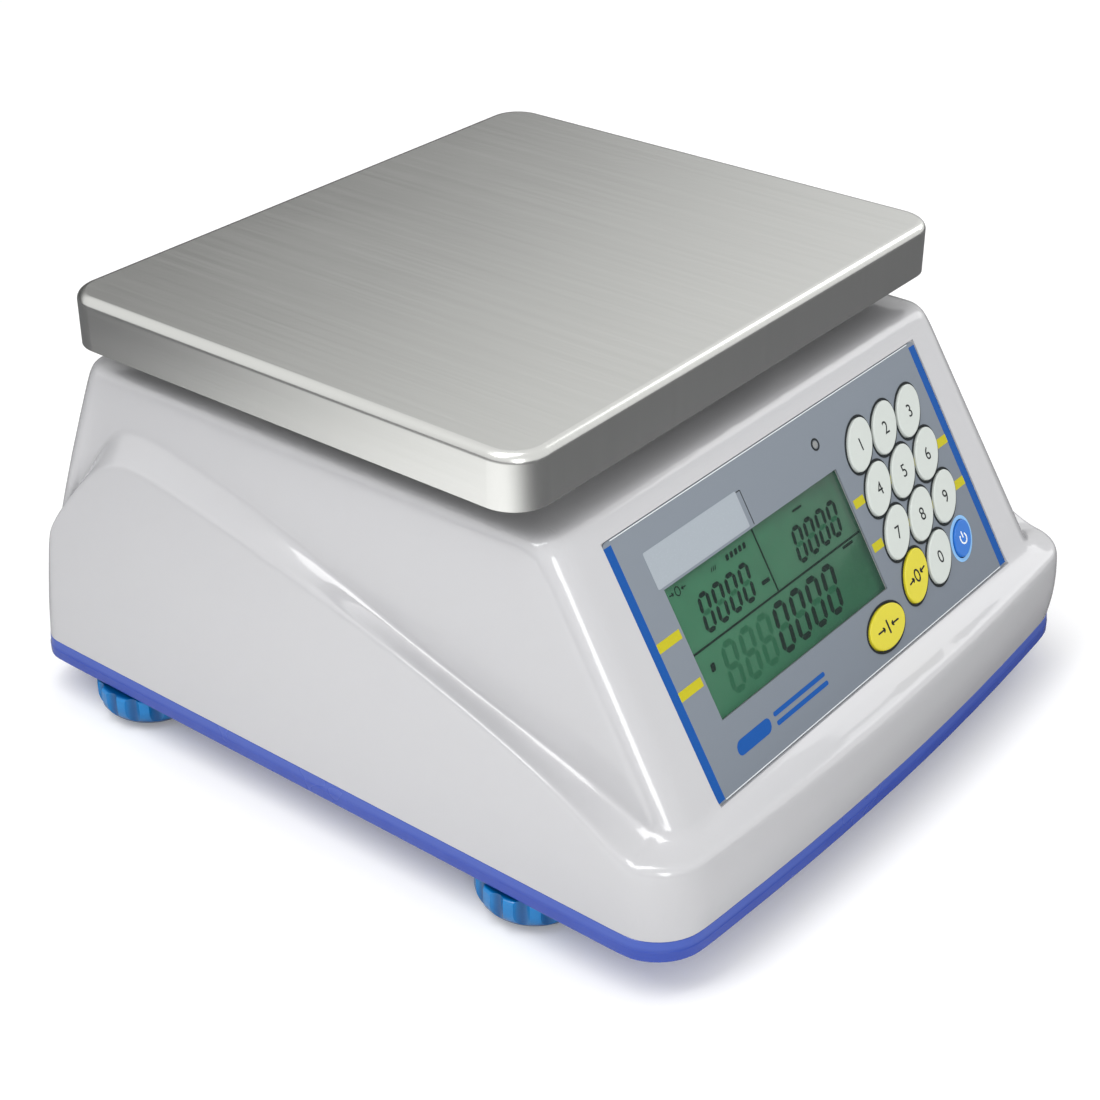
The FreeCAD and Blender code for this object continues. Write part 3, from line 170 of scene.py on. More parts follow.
class Graph:
    """The nodes of one material."""

    def __init__(self, name: str) -> None:
        """Starts a material with one Principled shader.

        Args:
            name: the material's name.
        """
        self.material = bpy.data.materials.new(name)
        self.material.use_nodes = True
        self.tree = self.material.node_tree
        self.tree.nodes.clear()
        output = self.add("ShaderNodeOutputMaterial")
        self.shader = self.add("ShaderNodeBsdfPrincipled")
        self.tree.links.new(self.shader.outputs[0], output.inputs[0])

    def add(
        self, kind: str, settings: dict | None = None, sockets: dict | None = None
    ) -> bpy.types.Node:
        """Adds one node.

        Args:
            kind: the node's type name.
            settings: properties set before the sockets.
            sockets: values or links, by input name or index.

        Returns:
            The node.
        """
        node = self.tree.nodes.new(kind)
        for key, value in (settings or {}).items():
            setattr(node, key, value)
        for key, value in (sockets or {}).items():
            self.feed(node.inputs[key], value)
        return node

    def feed(self, socket: bpy.types.NodeSocket, value: object) -> None:
        """Links or sets one input.

        Args:
            socket: the input.
            value: a signal, an output socket, or a plain value.
        """
        if isinstance(value, Signal):
            self.tree.links.new(value.socket, socket)
        elif isinstance(value, bpy.types.NodeSocket):
            self.tree.links.new(value, socket)
        else:
            socket.default_value = value

    def place(self) -> bpy.types.NodeSocket:
        """Object coordinates, in metres."""
        return self.add("ShaderNodeTexCoord").outputs["Object"]

    def mapped(
        self, location: Point, rotation: Point = (0.0, 0.0, 0.0)
    ) -> bpy.types.NodeSocket:
        """Object coordinates, turned and moved.

        Args:
            location: the move, done last.
            rotation: the turn in radians.

        Returns:
            The vector output.
        """
        node = self.add(
            "ShaderNodeMapping",
            None,
            {"Vector": self.place(), "Location": location, "Rotation": rotation},
        )
        return node.outputs[0]

    def parts(self, vector: bpy.types.NodeSocket) -> tuple[Signal, Signal, Signal]:
        """The three numbers of a vector.

        Args:
            vector: the vector.

        Returns:
            Its x, y and z.
        """
        node = self.add("ShaderNodeSeparateXYZ", None, {0: vector})
        return tuple(Signal(self, socket) for socket in node.outputs)

    def panel(self) -> tuple[Signal, Signal, Signal]:
        """Places across, down and out of the control panel, in millimetres."""
        turned = Matrix.Rotation(-PANEL_TILT, 3, "X") @ panel_origin()
        vector = self.mapped(tuple(-turned), (-PANEL_TILT, 0.0, 0.0))
        x, y, z = self.parts(vector)
        return x * (1.0 / MM), y * (-1.0 / MM), z * (1.0 / MM)

    def noise(
        self,
        scale: float,
        detail: float = 2.0,
        roughness: float = 0.5,
        vector: bpy.types.NodeSocket | None = None,
    ) -> Signal:
        """Smooth noise between 0 and 1.

        Args:
            scale: cells per metre.
            detail: octaves.
            roughness: strength of the finer octaves.
            vector: where it is read; the object's own place if left out.

        Returns:
            The noise.
        """
        node = self.add(
            "ShaderNodeTexNoise",
            None,
            {"Vector": vector or self.place(), "Scale": scale, "Detail": detail,
             "Roughness": roughness},
        )
        return Signal(self, node.outputs["Fac"])

    def blend(self, mask: Number, low: object, high: object) -> bpy.types.NodeSocket:
        """Colour between two colours.

        Args:
            mask: 0 gives low and 1 gives high.
            low: a colour or a colour output.
            high: a colour or a colour output.

        Returns:
            The colour output.
        """
        sockets = {0: mask, 6: self.opaque(low), 7: self.opaque(high)}
        return self.add("ShaderNodeMix", {"data_type": "RGBA"}, sockets).outputs[2]

    def opaque(self, color: object) -> object:
        """A plain colour with its alpha, or the output as it is."""
        if isinstance(color, tuple):
            return (*color[:3], 1.0)
        return color

    def bump(self, height: Signal, depth: float, strength: float = 1.0) -> None:
        """Feeds the shader's normal from a height.

        Args:
            height: the height, 0 to 1.
            depth: metres between 0 and 1.
            strength: share of the effect.
        """
        node = self.add(
            "ShaderNodeBump", None, {"Height": height, "Distance": depth, "Strength": strength}
        )
        self.feed(self.shader.inputs["Normal"], node.outputs[0])

    def set(self, **values: object) -> None:
        """Sets shader inputs, their names written with underscores."""
        for key, value in values.items():
            socket = self.shader.inputs[key.replace("_", " ")]
            self.feed(socket, self.opaque(value) if socket.type == "RGBA" else value)


# ---------------------------------------------------------------- finishes
@dataclass(frozen=True)
class Finish:
    """A finish that a piece can wear."""

    name: str
    slot: str
    color: Rgb
    roughness: float = 0.4
    wear: Wear = Wear.FRESH

    def make(self) -> bpy.types.Material:
        """The finish's material, made once."""
        known = bpy.data.materials.get(self.name)
        if known is not None:
            return known
        graph = Graph(self.name)
        graph.set(Base_Color=self.color, Roughness=self.roughness)
        self.paint(graph)
        return graph.material

    def paint(self, graph: Graph) -> None:
        """Adds what makes the finish its own kind.

        Args:
            graph: the material's nodes.
        """
        cloud = graph.noise(60.0, 3.0)
        tone = tuple(channel * 0.93 for channel in self.color)
        graph.set(Base_Color=graph.blend(cloud, tone, self.color))


@dataclass(frozen=True)
class Moulding(Finish):
    """Injection-moulded plastic with a coat of gloss."""

    shade: Rgb = (0.5, 0.5, 0.5)
    peel: float = 0.00002
    peel_scale: float = 420.0
    coat: float = 0.4
    coat_roughness: float = 0.06

    def paint(self, graph: Graph) -> None:
        """Cloudy colour, smears that grow with wear, a coat of gloss and a fine ripple."""
        cloud = graph.noise(9.0, 2.0)
        graph.set(Base_Color=graph.blend(cloud, self.color, self.shade))
        smear = graph.noise(6.0, 2.0)
        fine = graph.noise(900.0, 2.0)
        spread = 0.01 + 0.08 * self.wear.value
        graph.set(Roughness=self.roughness + smear * spread + fine * (0.02 * self.wear.value))
        graph.set(Coat_Weight=self.coat, Coat_Roughness=self.coat_roughness)
        if self.peel > 0.0:
            graph.bump(graph.noise(self.peel_scale, 3.0), self.peel)


@dataclass(frozen=True)
class TintedFoot(Finish):
    """Clear blue plastic of a levelling knob, with painted light on its ribs and painted shade in
    its flutes.
    """

    # deep: colour of the painted shade in the flutes
    deep: Rgb = (0.0, 0.07, 0.24)
    centre: Place = (0.0, 0.0)
    rib_radius: float = 0.0192

    def paint(self, graph: Graph) -> None:
        """Colour by the distance from the knob's own axis: painted shade in the flutes, painted
        light on the ribs and towards the top.
        """
        vector = graph.mapped((-self.centre[0], -self.centre[1], 0.0))
        x, y, z = graph.parts(vector)
        radius = (x * x + y * y) ** 0.5
        # painted light on the ribs, painted shade in the flutes
        lit_rib = radius.ramp(self.rib_radius - 0.0021, self.rib_radius - 0.0003)
        # painted light, growing towards the top of the knob
        top_light = z.ramp(0.002, 0.012) * 0.35 + 0.65
        swirl = graph.noise(240.0, 3.0, 0.6) * 0.5 + 0.6
        graph.set(Base_Color=graph.blend(lit_rib * top_light * swirl, self.deep, self.color))
        graph.set(
            Roughness=self.roughness + graph.noise(500.0) * 0.08,
            Coat_Weight=0.35,
            Coat_Roughness=0.05,
            Transmission_Weight=0.15,
            IOR=1.49,
        )
        graph.bump(graph.noise(700.0, 2.0), 0.00002)


@dataclass(frozen=True)
class BandPlastic(Finish):
    """Glossy blue of the tray, with painted light on its inclined upper face."""

    # pale: colour of the moulding clouds and of the painted light on the inclined upper face
    pale: Rgb = (0.2, 0.3, 0.7)
    # heights where the painted light on the upper face starts and is full
    edge_low: float = 0.0175
    edge_high: float = 0.0195

    def paint(self, graph: Graph) -> None:
        """Painted light on the inclined upper face over the wall's blue, with moulding clouds."""
        _, _, z = graph.parts(graph.place())
        # painted light: the inclined upper face is paler
        lit_strip = z.ramp(self.edge_low, self.edge_high)
        cloud = graph.noise(45.0, 4.0).ramp(0.3, 0.7) * 0.3
        deep = graph.blend(cloud, self.color, self.pale)
        graph.set(Base_Color=graph.blend(lit_strip * 0.8, deep, self.pale))
        graph.set(Roughness=self.roughness + graph.noise(60.0) * 0.05)
        graph.set(Coat_Weight=0.3, Coat_Roughness=0.05)
        graph.bump(graph.noise(120.0, 1.0), 0.00001)


@dataclass(frozen=True)
class BrushedSteel(Finish):
    """Stainless sheet brushed along its depth."""

    dark: Rgb = (0.3, 0.3, 0.29)
    lines: float = 2600.0
    length: float = 14.0

    def paint(self, graph: Graph) -> None:
        """Long fine scratches, wider tone bands and faint stains."""
        normal = graph.add("ShaderNodeNewGeometry").outputs["Normal"]
        nx, _, _ = graph.parts(normal)
        x, y, z = graph.parts(graph.place())
        across = x + z * abs(nx)
        along = y * (self.length / self.lines)
        joined = graph.add("ShaderNodeCombineXYZ", None, {0: across, 1: along})
        fine = graph.noise(self.lines, 3.0, 0.65, joined.outputs[0])
        bands = graph.noise(self.lines / 9.0, 2.0, 0.5, joined.outputs[0])
        stripe = fine * 0.65 + bands * 0.35
        tone = stripe.ramp(0.32, 0.68)
        stain = graph.noise(14.0, 3.0).ramp(0.35, 0.7) * 0.05
        graph.set(Base_Color=graph.blend(tone * 0.75 + stain, self.dark, self.color))
        graph.set(Metallic=1.0, Roughness=self.roughness + (stripe - 0.5) * 0.1 + stain * 0.4)
        graph.bump(fine, 0.00001, 0.4)


@dataclass(frozen=True)
class Metal(Finish):
    """Plated, turned or cast metal."""

    grain: float = 700.0
    depth: float = 0.00002
    rust: Rgb = (0.2, 0.18, 0.15)

    def paint(self, graph: Graph) -> None:
        """Grain in the roughness and bump, duller patches in the colour."""
        patch = graph.noise(120.0, 4.0, 0.6).ramp(0.5, 0.8)
        grain = graph.noise(self.grain, 3.0)
        graph.set(Base_Color=graph.blend(patch * 0.35, self.color, self.rust), Metallic=1.0)
        graph.set(Roughness=self.roughness + grain * 0.15 + patch * 0.1)
        graph.bump(grain, self.depth)


@dataclass(frozen=True)
class PrintedFilm(Finish):
    """Polyester film printed on its back, with a fine textured face."""

    light: Rgb = (0.4, 0.44, 0.5)

    def paint(self, graph: Graph) -> None:
        """Soft change of tone down the slope and the film's own grain."""
        u, v, _ = graph.panel()
        slope = (v + u * 0.25).ramp(-25.0, 105.0)
        graph.set(Base_Color=graph.blend(1.0 - slope, self.color, self.light))
        grain = graph.noise(2200.0, 3.0, 0.7)
        smear = graph.noise(45.0, 3.0).ramp(0.4, 0.75)
        graph.set(Roughness=self.roughness + grain * 0.12 - smear * 0.06, Specular_IOR_Level=0.3)
        graph.bump(grain, 0.000015, 0.6)


@dataclass(frozen=True)
class Ink(Finish):
    """Printing ink, a little uneven at its edges."""

    def paint(self, graph: Graph) -> None:
        """Fine speckle of the film under the ink."""
        speck = graph.noise(3000.0, 2.0).ramp(0.55, 0.8)
        paler = tuple(min(channel * 1.25 + 0.01, 1.0) for channel in self.color)
        graph.set(Base_Color=graph.blend(speck * 0.6, self.color, paler))
        graph.set(Roughness=self.roughness + graph.noise(1800.0) * 0.15, Specular_IOR_Level=0.25)
        graph.bump(graph.noise(2500.0), 0.00001, 0.5)


@dataclass(frozen=True)
class DisplayGreen(Finish):
    """Reflective liquid crystal: green, darker towards the right, with painted shade along its top,
    right and bottom edges.
    """

    # deep: colour of the haze, the darkening to the right and the painted edge shade
    deep: Rgb = (0.02, 0.1, 0.05)
    corner: Place = (-72.4, 21.8)
    far_corner: Place = (23.1, 65.0)

    def paint(self, graph: Graph) -> None:
        """Gradient across the cell, painted shade of the window's recess along three edges and a
        faint haze.
        """
        u, v, _ = graph.panel()
        across = (u - v * 0.35).ramp(self.corner[0] - 30.0, self.far_corner[0] + 16.0)
        haze = graph.noise(90.0, 4.0, 0.6).ramp(0.3, 0.75)
        # top, right and low: painted shade of the window's recess along the cell's edges
        top = 1.0 - v.ramp(self.corner[1], self.corner[1] + 5.0)
        right = u.ramp(self.far_corner[0] - 5.5, self.far_corner[0] - 0.5)
        low = v.ramp(self.far_corner[1] - 2.0, self.far_corner[1])
        # mask of the painted edge shade, the darkening to the right and the haze
        painted_shade_and_haze = (across * 0.5 + haze * 0.2 + top * 0.25 + right * 0.5 + low * 0.3).ramp(0.0, 1.15)
        graph.set(Base_Color=graph.blend(painted_shade_and_haze, self.color, self.deep))
        graph.set(Roughness=self.roughness + haze * 0.1, Coat_Weight=0.25, Coat_Roughness=0.08)
        graph.bump(graph.noise(1500.0), 0.000008, 0.4)


@dataclass(frozen=True)
class ClearPane(Finish):
    """Clear plastic that shows what is behind it."""

    alpha: float = 0.12

    def paint(self, graph: Graph) -> None:
        """Faint wipe marks in the gloss."""
        wipe = graph.noise(70.0, 4.0).ramp(0.45, 0.8)
        graph.set(Alpha=self.alpha, Roughness=self.roughness + wipe * 0.06, IOR=1.45)
        graph.bump(graph.noise(200.0), 0.00001, 0.3)


@dataclass(frozen=True)
class Rubber(Finish):
    """Matt elastomer."""

    def paint(self, graph: Graph) -> None:
        """Fine moulded grain and paler dust."""
        grain = graph.noise(1600.0, 3.0, 0.6)
        dust = graph.noise(80.0, 4.0).ramp(0.5, 0.85)
        pale = tuple(channel + 0.05 for channel in self.color)
        graph.set(Base_Color=graph.blend(dust * 0.6, self.color, pale))
        graph.set(Roughness=self.roughness + grain * 0.1)
        graph.bump(grain, 0.00005)


@dataclass(frozen=True)
class CircuitBoard(Finish):
    """Lacquered board with tracks under its green mask."""

    track: Rgb = (0.1, 0.4, 0.2)

    def paint(self, graph: Graph) -> None:
        """Rows of tracks with gaps."""
        brick = graph.add(
            "ShaderNodeTexBrick",
            {"offset": 0.37, "squash": 1.7},
            {
                "Vector": graph.place(),
                "Scale": 210.0,
                "Mortar Size": 0.14,
                "Color1": (1.0, 1.0, 1.0, 1.0),
                "Color2": (0.0, 0.0, 0.0, 1.0),
                "Mortar": (0.2, 0.2, 0.2, 1.0),
            },
        )
        copper = Signal(graph, brick.outputs["Fac"])
        cloud = graph.noise(200.0, 3.0)
        graph.set(Base_Color=graph.blend(copper * (0.5 + cloud * 0.5), self.color, self.track))
        graph.set(Roughness=self.roughness + copper * 0.1, Coat_Weight=0.3)
        graph.bump(copper, 0.00003)


SHELL = Moulding(
    "shell_white", "housing", (0.525, 0.525, 0.54), 0.26, Wear.FRESH,
    shade=(0.515, 0.515, 0.53), peel=0.0, coat=1.0, coat_roughness=0.05,
)
# pale also colours the painted light on the tray's inclined upper face
BAND = BandPlastic("band_blue", "tray", (0.02, 0.055, 0.36), 0.24, pale=(0.05, 0.10, 0.44))
PAN_STEEL = BrushedSteel("pan_steel", "pan", (0.87, 0.875, 0.845), 0.24, dark=(0.79, 0.795, 0.765))
CAST = Metal("cast_aluminium", "casting", (0.6, 0.61, 0.62), 0.42, grain=900.0, depth=0.00006)
ZINC = Metal("zinc_plate", "steel", (0.62, 0.62, 0.6), 0.26)
BRASS = Metal("turned_brass", "brass", (0.72, 0.53, 0.22), 0.25)
DARK_RUBBER = Rubber("dark_rubber", "rubber", (0.025, 0.025, 0.027), 0.62)
MEMBRANE = Rubber("membrane_rubber", "rubber", (0.03, 0.035, 0.04), 0.55)
FILM = PrintedFilm("panel_film", "overlay", (0.18, 0.207, 0.245), 0.42, light=(0.215, 0.245, 0.283))
BLACK = Moulding(
    "black_plastic", "black_plastic", (0.02, 0.02, 0.022), 0.4,
    shade=(0.03, 0.03, 0.033), peel=0.00003, peel_scale=900.0, coat=0.1,
)
BOARD = CircuitBoard("circuit_board", "board", (0.02, 0.13, 0.05), 0.35)
LED = Moulding("led_lens", "led", (0.2, 0.21, 0.21), 0.15, shade=(0.26, 0.27, 0.27), coat=0.6)
RED_WIRE = Rubber("red_lead", "lead", (0.42, 0.02, 0.02), 0.4)
GREY_RIBBON = Rubber("grey_ribbon", "ribbon", (0.42, 0.42, 0.44), 0.45)
VIAL = ClearPane("vial_fluid", "vial", (0.5, 0.72, 0.12), 0.06, alpha=0.6)
PANE = ClearPane("window_pane", "window", (0.02, 0.05, 0.04), 0.05, alpha=0.06)
# deep also colours the painted shade along the cell's edges
LCD = DisplayGreen("display_green", "lcd", (0.035, 0.17, 0.085), 0.3, deep=(0.01, 0.06, 0.03))
DIFFUSER = Moulding("diffuser", "backlight", (0.5, 0.66, 0.35), 0.5, shade=(0.45, 0.6, 0.3))
DARK_TRAY = BandPlastic(
    "tray_underside", "tray", (0.045, 0.085, 0.42), 0.35, pale=(0.05, 0.09, 0.42),
    edge_low=0.2, edge_high=0.21,
)
BLACK_WIRE = Rubber("black_lead", "lead", (0.02, 0.02, 0.022), 0.45)


def key_plastic(name: str, color: Rgb, shade: Rgb, roughness: float, coat: float) -> Moulding:
    """Finish of one kind of key.

    Args:
        name: the finish's name, which is also its slot.
        color: its colour.
        shade: the colour it clouds to.
        roughness: its roughness.
        coat: weight of its gloss.

    Returns:
        The finish.
    """
    return Moulding(
        name, name, color, roughness, Wear.HANDLED, shade=shade, peel_scale=1200.0, coat=coat
    )


KEY_PALE = key_plastic("key_pale", (0.29, 0.312, 0.315), (0.265, 0.287, 0.29), 0.32, 0.2)
KEY_YELLOW = key_plastic("key_yellow", (0.54, 0.45, 0.004), (0.48, 0.39, 0.004), 0.34, 0.05)
KEY_BLUE = key_plastic("key_blue", (0.006, 0.17, 0.5), (0.006, 0.14, 0.44), 0.34, 0.05)
INK_BLUE = Ink("ink_blue", "overlay", (0.0, 0.078, 0.34), 0.4)
INK_YELLOW = Ink("ink_yellow", "overlay", (0.5, 0.45, 0.01), 0.4)
INK_PALE = Ink("ink_pale_grey", "overlay", (0.36, 0.40, 0.44), 0.4)
INK_HALO = Ink("ink_halo", "overlay", (0.25, 0.50, 0.82), 0.4)
INK_DARK = Ink("ink_dark", "overlay", (0.012, 0.016, 0.018), 0.45)
INK_KEY = Ink("ink_key_mark", "overlay", (0.012, 0.014, 0.016), 0.4)
INK_WHITE = Ink("ink_white", "overlay", (0.8, 0.84, 0.86), 0.4)
SEGMENT_DARK = Ink("segment_dark", "lcd", (0.004, 0.014, 0.011), 0.35)
SEGMENT_IDLE = Ink("segment_idle", "lcd", (0.02, 0.115, 0.056), 0.35)
LABEL = Finish("blank_label", "overlay", (0.66, 0.67, 0.68), 0.4)
CHIP = Moulding("chip_black", "black_plastic", (0.012, 0.012, 0.013), 0.5, shade=(0.02, 0.02, 0.02))
GAUGE = Rubber("gauge_silicone", "rubber", (0.6, 0.6, 0.56), 0.5)


# ---------------------------------------------------------------- making pieces
def panel_origin() -> Vector:
    """Middle of the overlay's top edge, on its face."""
    low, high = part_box("panel_overlay")
    return Vector((0.5 * (low[0] + high[0]), high[1] - 0.5 * MM * math.sin(PANEL_TILT), high[2]))


def panel_matrix() -> Matrix:
    """From millimetres on the panel (across, up the slope, outwards) to the model's frame."""
    turn = Matrix.Rotation(PANEL_TILT, 4, "X")
    return Matrix.Translation(panel_origin()) @ turn @ MILLIMETRES


def middle_of(node: str) -> Vector:
    """Middle of a CAD node's box.

    Args:
        node: the node's name.

    Returns:
        The middle, in metres.
    """
    low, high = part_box(node)
    return 0.5 * (Vector(low) + Vector(high))


def on_panel(node: str) -> Place:
    """A CAD node's middle in panel millimetres, across and down.

    Args:
        node: the node's name.

    Returns:
        The two numbers.
    """
    local = panel_matrix().inverted() @ middle_of(node)
    return local.x, -local.y


class Sketch:
    """A mesh in the making, shaped with mesh operators."""

    def __init__(self) -> None:
        """Starts empty."""
        self.bm = bmesh.new()

    def move(self, verts: Iterable, matrix: Matrix) -> None:
        """Applies a transform to some vertices."""
        bmesh.ops.transform(self.bm, matrix=matrix, verts=list(verts))

    def block(self, size: Point, centre: Point, round_off: float = 0.0, steps: int = 2) -> list:
        """Box with bevelled edges.

        Args:
            size: width, depth and height.
            centre: its middle.
            round_off: bevel width.
            steps: bevel segments.

        Returns:
            The vertices made.
        """
        made = bmesh.ops.create_cube(self.bm, size=1.0)["verts"]
        matrix = Matrix.Translation(centre) @ Matrix.Diagonal((*size, 1.0))
        self.move(made, matrix)
        if round_off > 0.0:
            edges = list({edge for vert in made for edge in vert.link_edges})
            made = bmesh.ops.bevel(
                self.bm, geom=edges, offset=round_off, offset_type="OFFSET", affect="EDGES",
                segments=steps, profile=0.5, material=-1, clamp_overlap=True,
            )["verts"]
        return made

    def plate(self, width: float, height: float, centre: Point, thickness: float,
              corner: float = 0.0, slant: float = 0.0) -> None:
        """Flat print with rounded corners, standing up from centre by its thickness.

        Args:
            width: size across.
            height: size up.
            centre: middle of its underside.
            thickness: height of the print.
            corner: corner radius.
            slant: lean of its upright sides in degrees.
        """
        verts = bmesh.ops.create_grid(self.bm, x_segments=1, y_segments=1, size=0.5)["verts"]
        lean = Matrix.Identity(4)
        lean[0][1] = math.tan(math.radians(slant))
        self.move(verts, Matrix.Diagonal((width, height, 1.0, 1.0)))
        if corner > 0.0:
            verts = self.round_corners(verts, corner)
        self.move(verts, Matrix.Translation(centre) @ lean)
        self.raise_faces({face for vert in verts for face in vert.link_faces}, thickness)

    def round_corners(self, verts: Iterable, radius: float) -> list:
        """Rounds a flat face's corners.

        Args:
            verts: the corners.
            radius: the radius.

        Returns:
            The new vertices.
        """
        made = bmesh.ops.bevel(
            self.bm, geom=list(verts), offset=radius, offset_type="OFFSET", affect="VERTICES",
            segments=4, profile=0.5, material=-1, clamp_overlap=True,
        )
        return list({vert for face in made["faces"] for vert in face.verts} | set(made["verts"]))

    def raise_faces(self, faces: Iterable, thickness: float) -> None:
        """Turns flat faces into a plate.

        Args:
            faces: the faces, which become the underside.
            thickness: the plate's thickness.
        """
        made = bmesh.ops.extrude_face_region(self.bm, geom=list(faces), use_keep_orig=True)["geom"]
        upper = [item for item in made if isinstance(item, bmesh.types.BMVert)]
        bmesh.ops.translate(self.bm, verts=upper, vec=(0.0, 0.0, thickness))

    def oval(self, radii: Place, centre: Point, turn: float, sides: int) -> list:
        """Ellipse outline.

        Args:
            radii: half axes.
            centre: its middle.
            turn: turn in degrees.
            sides: corners round it.

        Returns:
            Its vertices.
        """
        made = bmesh.ops.create_circle(self.bm, segments=sides, radius=1.0)["verts"]
        place = Matrix.Translation(centre) @ Matrix.Rotation(math.radians(turn), 4, "Z")
        self.move(made, place @ Matrix.Diagonal((radii[0], radii[1], 1.0, 1.0)))
        return made

    def rim(self, inner: Place, outer: Place, centre: Point, thickness: float,
            turn: float = 0.0, sides: int = 64) -> None:
        """Elliptical ring.

        Args:
            inner: half axes of its hole.
            outer: half axes of its outside.
            centre: middle of its underside.
            thickness: its thickness.
            turn: turn in degrees.
            sides: corners round it.
        """
        edges = set()
        for radii in (inner, outer):
            verts = self.oval(radii, centre, turn, sides)
            edges |= {edge for vert in verts for edge in vert.link_edges}
        made = bmesh.ops.bridge_loops(self.bm, edges=list(edges))["faces"]
        self.raise_faces(made, thickness)

    def bar(self, start: Place, end: Place, width: float, level: float, thickness: float,
            tip: float = 0.5) -> None:
        """Six-sided display bar between two points.

        Args:
            start: one tip.
            end: the other tip.
            width: its width.
            level: height of its underside.
            thickness: its thickness.
            tip: length of each tip as a share of the width.
        """
        reach = math.dist(start, end)
        verts = bmesh.ops.create_circle(self.bm, cap_ends=True, segments=6, radius=1.0)["verts"]
        flat = Matrix.Diagonal((0.5 * reach, width / math.sqrt(3.0), 1.0, 1.0))
        self.move(verts, flat @ Matrix.Rotation(math.radians(90.0), 4, "Z"))
        for side in SIDES:
            shoulder = [vert for vert in verts if 0.1 * reach < side * vert.co.x < 0.4 * reach]
            bmesh.ops.translate(
                self.bm, verts=shoulder, vec=(side * (0.25 * reach - tip * width), 0.0, 0.0)
            )
        middle = (0.5 * (start[0] + end[0]), 0.5 * (start[1] + end[1]), level)
        angle = math.atan2(end[1] - start[1], end[0] - start[0])
        self.move(verts, Matrix.Translation(middle) @ Matrix.Rotation(angle, 4, "Z"))
        self.raise_faces({face for vert in verts for face in vert.link_faces}, thickness)

    def lathe(self, profile: Sequence[Place], centre: Point, axis: Point = (0.0, 0.0, 1.0),
              steps: int = 32) -> None:
        """Turned solid.

        Args:
            profile: radius and height of each corner, from axis to axis.
            centre: where height 0 lies on the axis.
            axis: direction of the axis.
            steps: steps round it.
        """
        verts = [self.bm.verts.new((radius, 0.0, height)) for radius, height in profile]
        edges = [self.bm.edges.new(pair) for pair in zip(verts, verts[1:])]
        made = bmesh.ops.spin(
            self.bm, geom=verts + edges, cent=(0.0, 0.0, 0.0), axis=(0.0, 0.0, 1.0),
            angle=2.0 * math.pi, steps=steps, use_merge=True, use_duplicate=False,
        )["geom_last"]
        ends = [item for item in made if isinstance(item, bmesh.types.BMVert)]
        linked = self.connected(verts + ends)
        bmesh.ops.remove_doubles(self.bm, verts=linked, dist=1e-7)
        linked = [vert for vert in linked if vert.is_valid]
        turn = Vector((0.0, 0.0, 1.0)).rotation_difference(Vector(axis)).to_matrix().to_4x4()
        self.move(linked, Matrix.Translation(centre) @ turn)

    def connected(self, seeds: Iterable) -> list:
        """Every vertex joined to the seeds.

        Args:
            seeds: the first vertices.

        Returns:
            All of them.
        """
        found = {vert for vert in seeds if vert.is_valid}
        queue = list(found)
        while queue:
            for edge in queue.pop().link_edges:
                for vert in edge.verts:
                    if vert not in found:
                        found.add(vert)
                        queue.append(vert)
        return list(found)

    def lettering(self, text: str, size: float, centre: Point, thickness: float) -> None:
        """Adds a digit from the built-in typeface, as a raised print.

        Args:
            text: what is written.
            size: height of its type.
            centre: its middle.
            thickness: height of the print.
        """
        curve = bpy.data.curves.new("type", "FONT")
        curve.body = text
        curve.size = size
        curve.extrude = 0.5 * thickness
        curve.resolution_u = 6
        holder = bpy.data.objects.new("type", curve)
        bpy.context.scene.collection.objects.link(holder)
        bpy.context.view_layer.update()
        shaped = holder.evaluated_get(bpy.context.evaluated_depsgraph_get())
        mesh = bpy.data.meshes.new_from_object(shaped)
        before = set(self.bm.verts)
        self.bm.from_mesh(mesh)
        verts = [vert for vert in self.bm.verts if vert not in before]
        bmesh.ops.remove_doubles(self.bm, verts=verts, dist=1e-5)
        verts = [vert for vert in self.bm.verts if vert not in before]
        lows = [min(vert.co[axis] for vert in verts) for axis in range(2)]
        highs = [max(vert.co[axis] for vert in verts) for axis in range(2)]
        shift = Vector(centre) - Vector(
            (0.5 * (lows[0] + highs[0]), 0.5 * (lows[1] + highs[1]), -0.5 * thickness)
        )
        self.move(verts, Matrix.Translation(shift))
        bpy.data.objects.remove(holder)
        bpy.data.curves.remove(curve)
        bpy.data.meshes.remove(mesh)

    def wrap(self, name: str, finish: Finish) -> bpy.types.Object:
        """Turns the sketch into a dressed object and frees it.

        Args:
            name: the piece's name.
            finish: its finish.

        Returns:
            The piece.
        """
        mesh = bpy.data.meshes.new(name)
        self.bm.to_mesh(mesh)
        self.bm.free()
        mesh.shade_smooth()
        mesh.set_sharp_from_angle(angle=SMOOTH_ANGLE)
        mesh.materials.append(finish.make())
        piece = bpy.data.objects.new(name, mesh)
        bpy.context.scene.collection.objects.link(piece)
        LOG.info("piece %s, %d faces", name, len(mesh.polygons))
        return piece

    def finish(self, name: str, finish: Finish, body: str = BODY,
               matrix: Matrix = MILLIMETRES) -> bpy.types.Object:
        """Makes the piece, dresses it and lets it ride on its body.

        Args:
            name: the piece's name.
            finish: its finish.
            body: the CAD body it rides on.
            matrix: from the sketch's units to the model's frame.

        Returns:
            The piece.
        """
        self.move(self.bm.verts, matrix)
        bmesh.ops.recalc_face_normals(self.bm, faces=self.bm.faces)
        piece = self.wrap(name, finish)
        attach(piece, body)
        return piece

    def finish_panel(self, name: str, finish: Finish, body: str = BODY) -> bpy.types.Object:
        """Finishes a piece drawn in panel millimetres, across, up and outwards.

        Args:
            name: the piece's name.
            finish: its finish.
            body: the CAD body it rides on.

        Returns:
            The piece.
        """
        return self.finish(name, finish, body, panel_matrix())


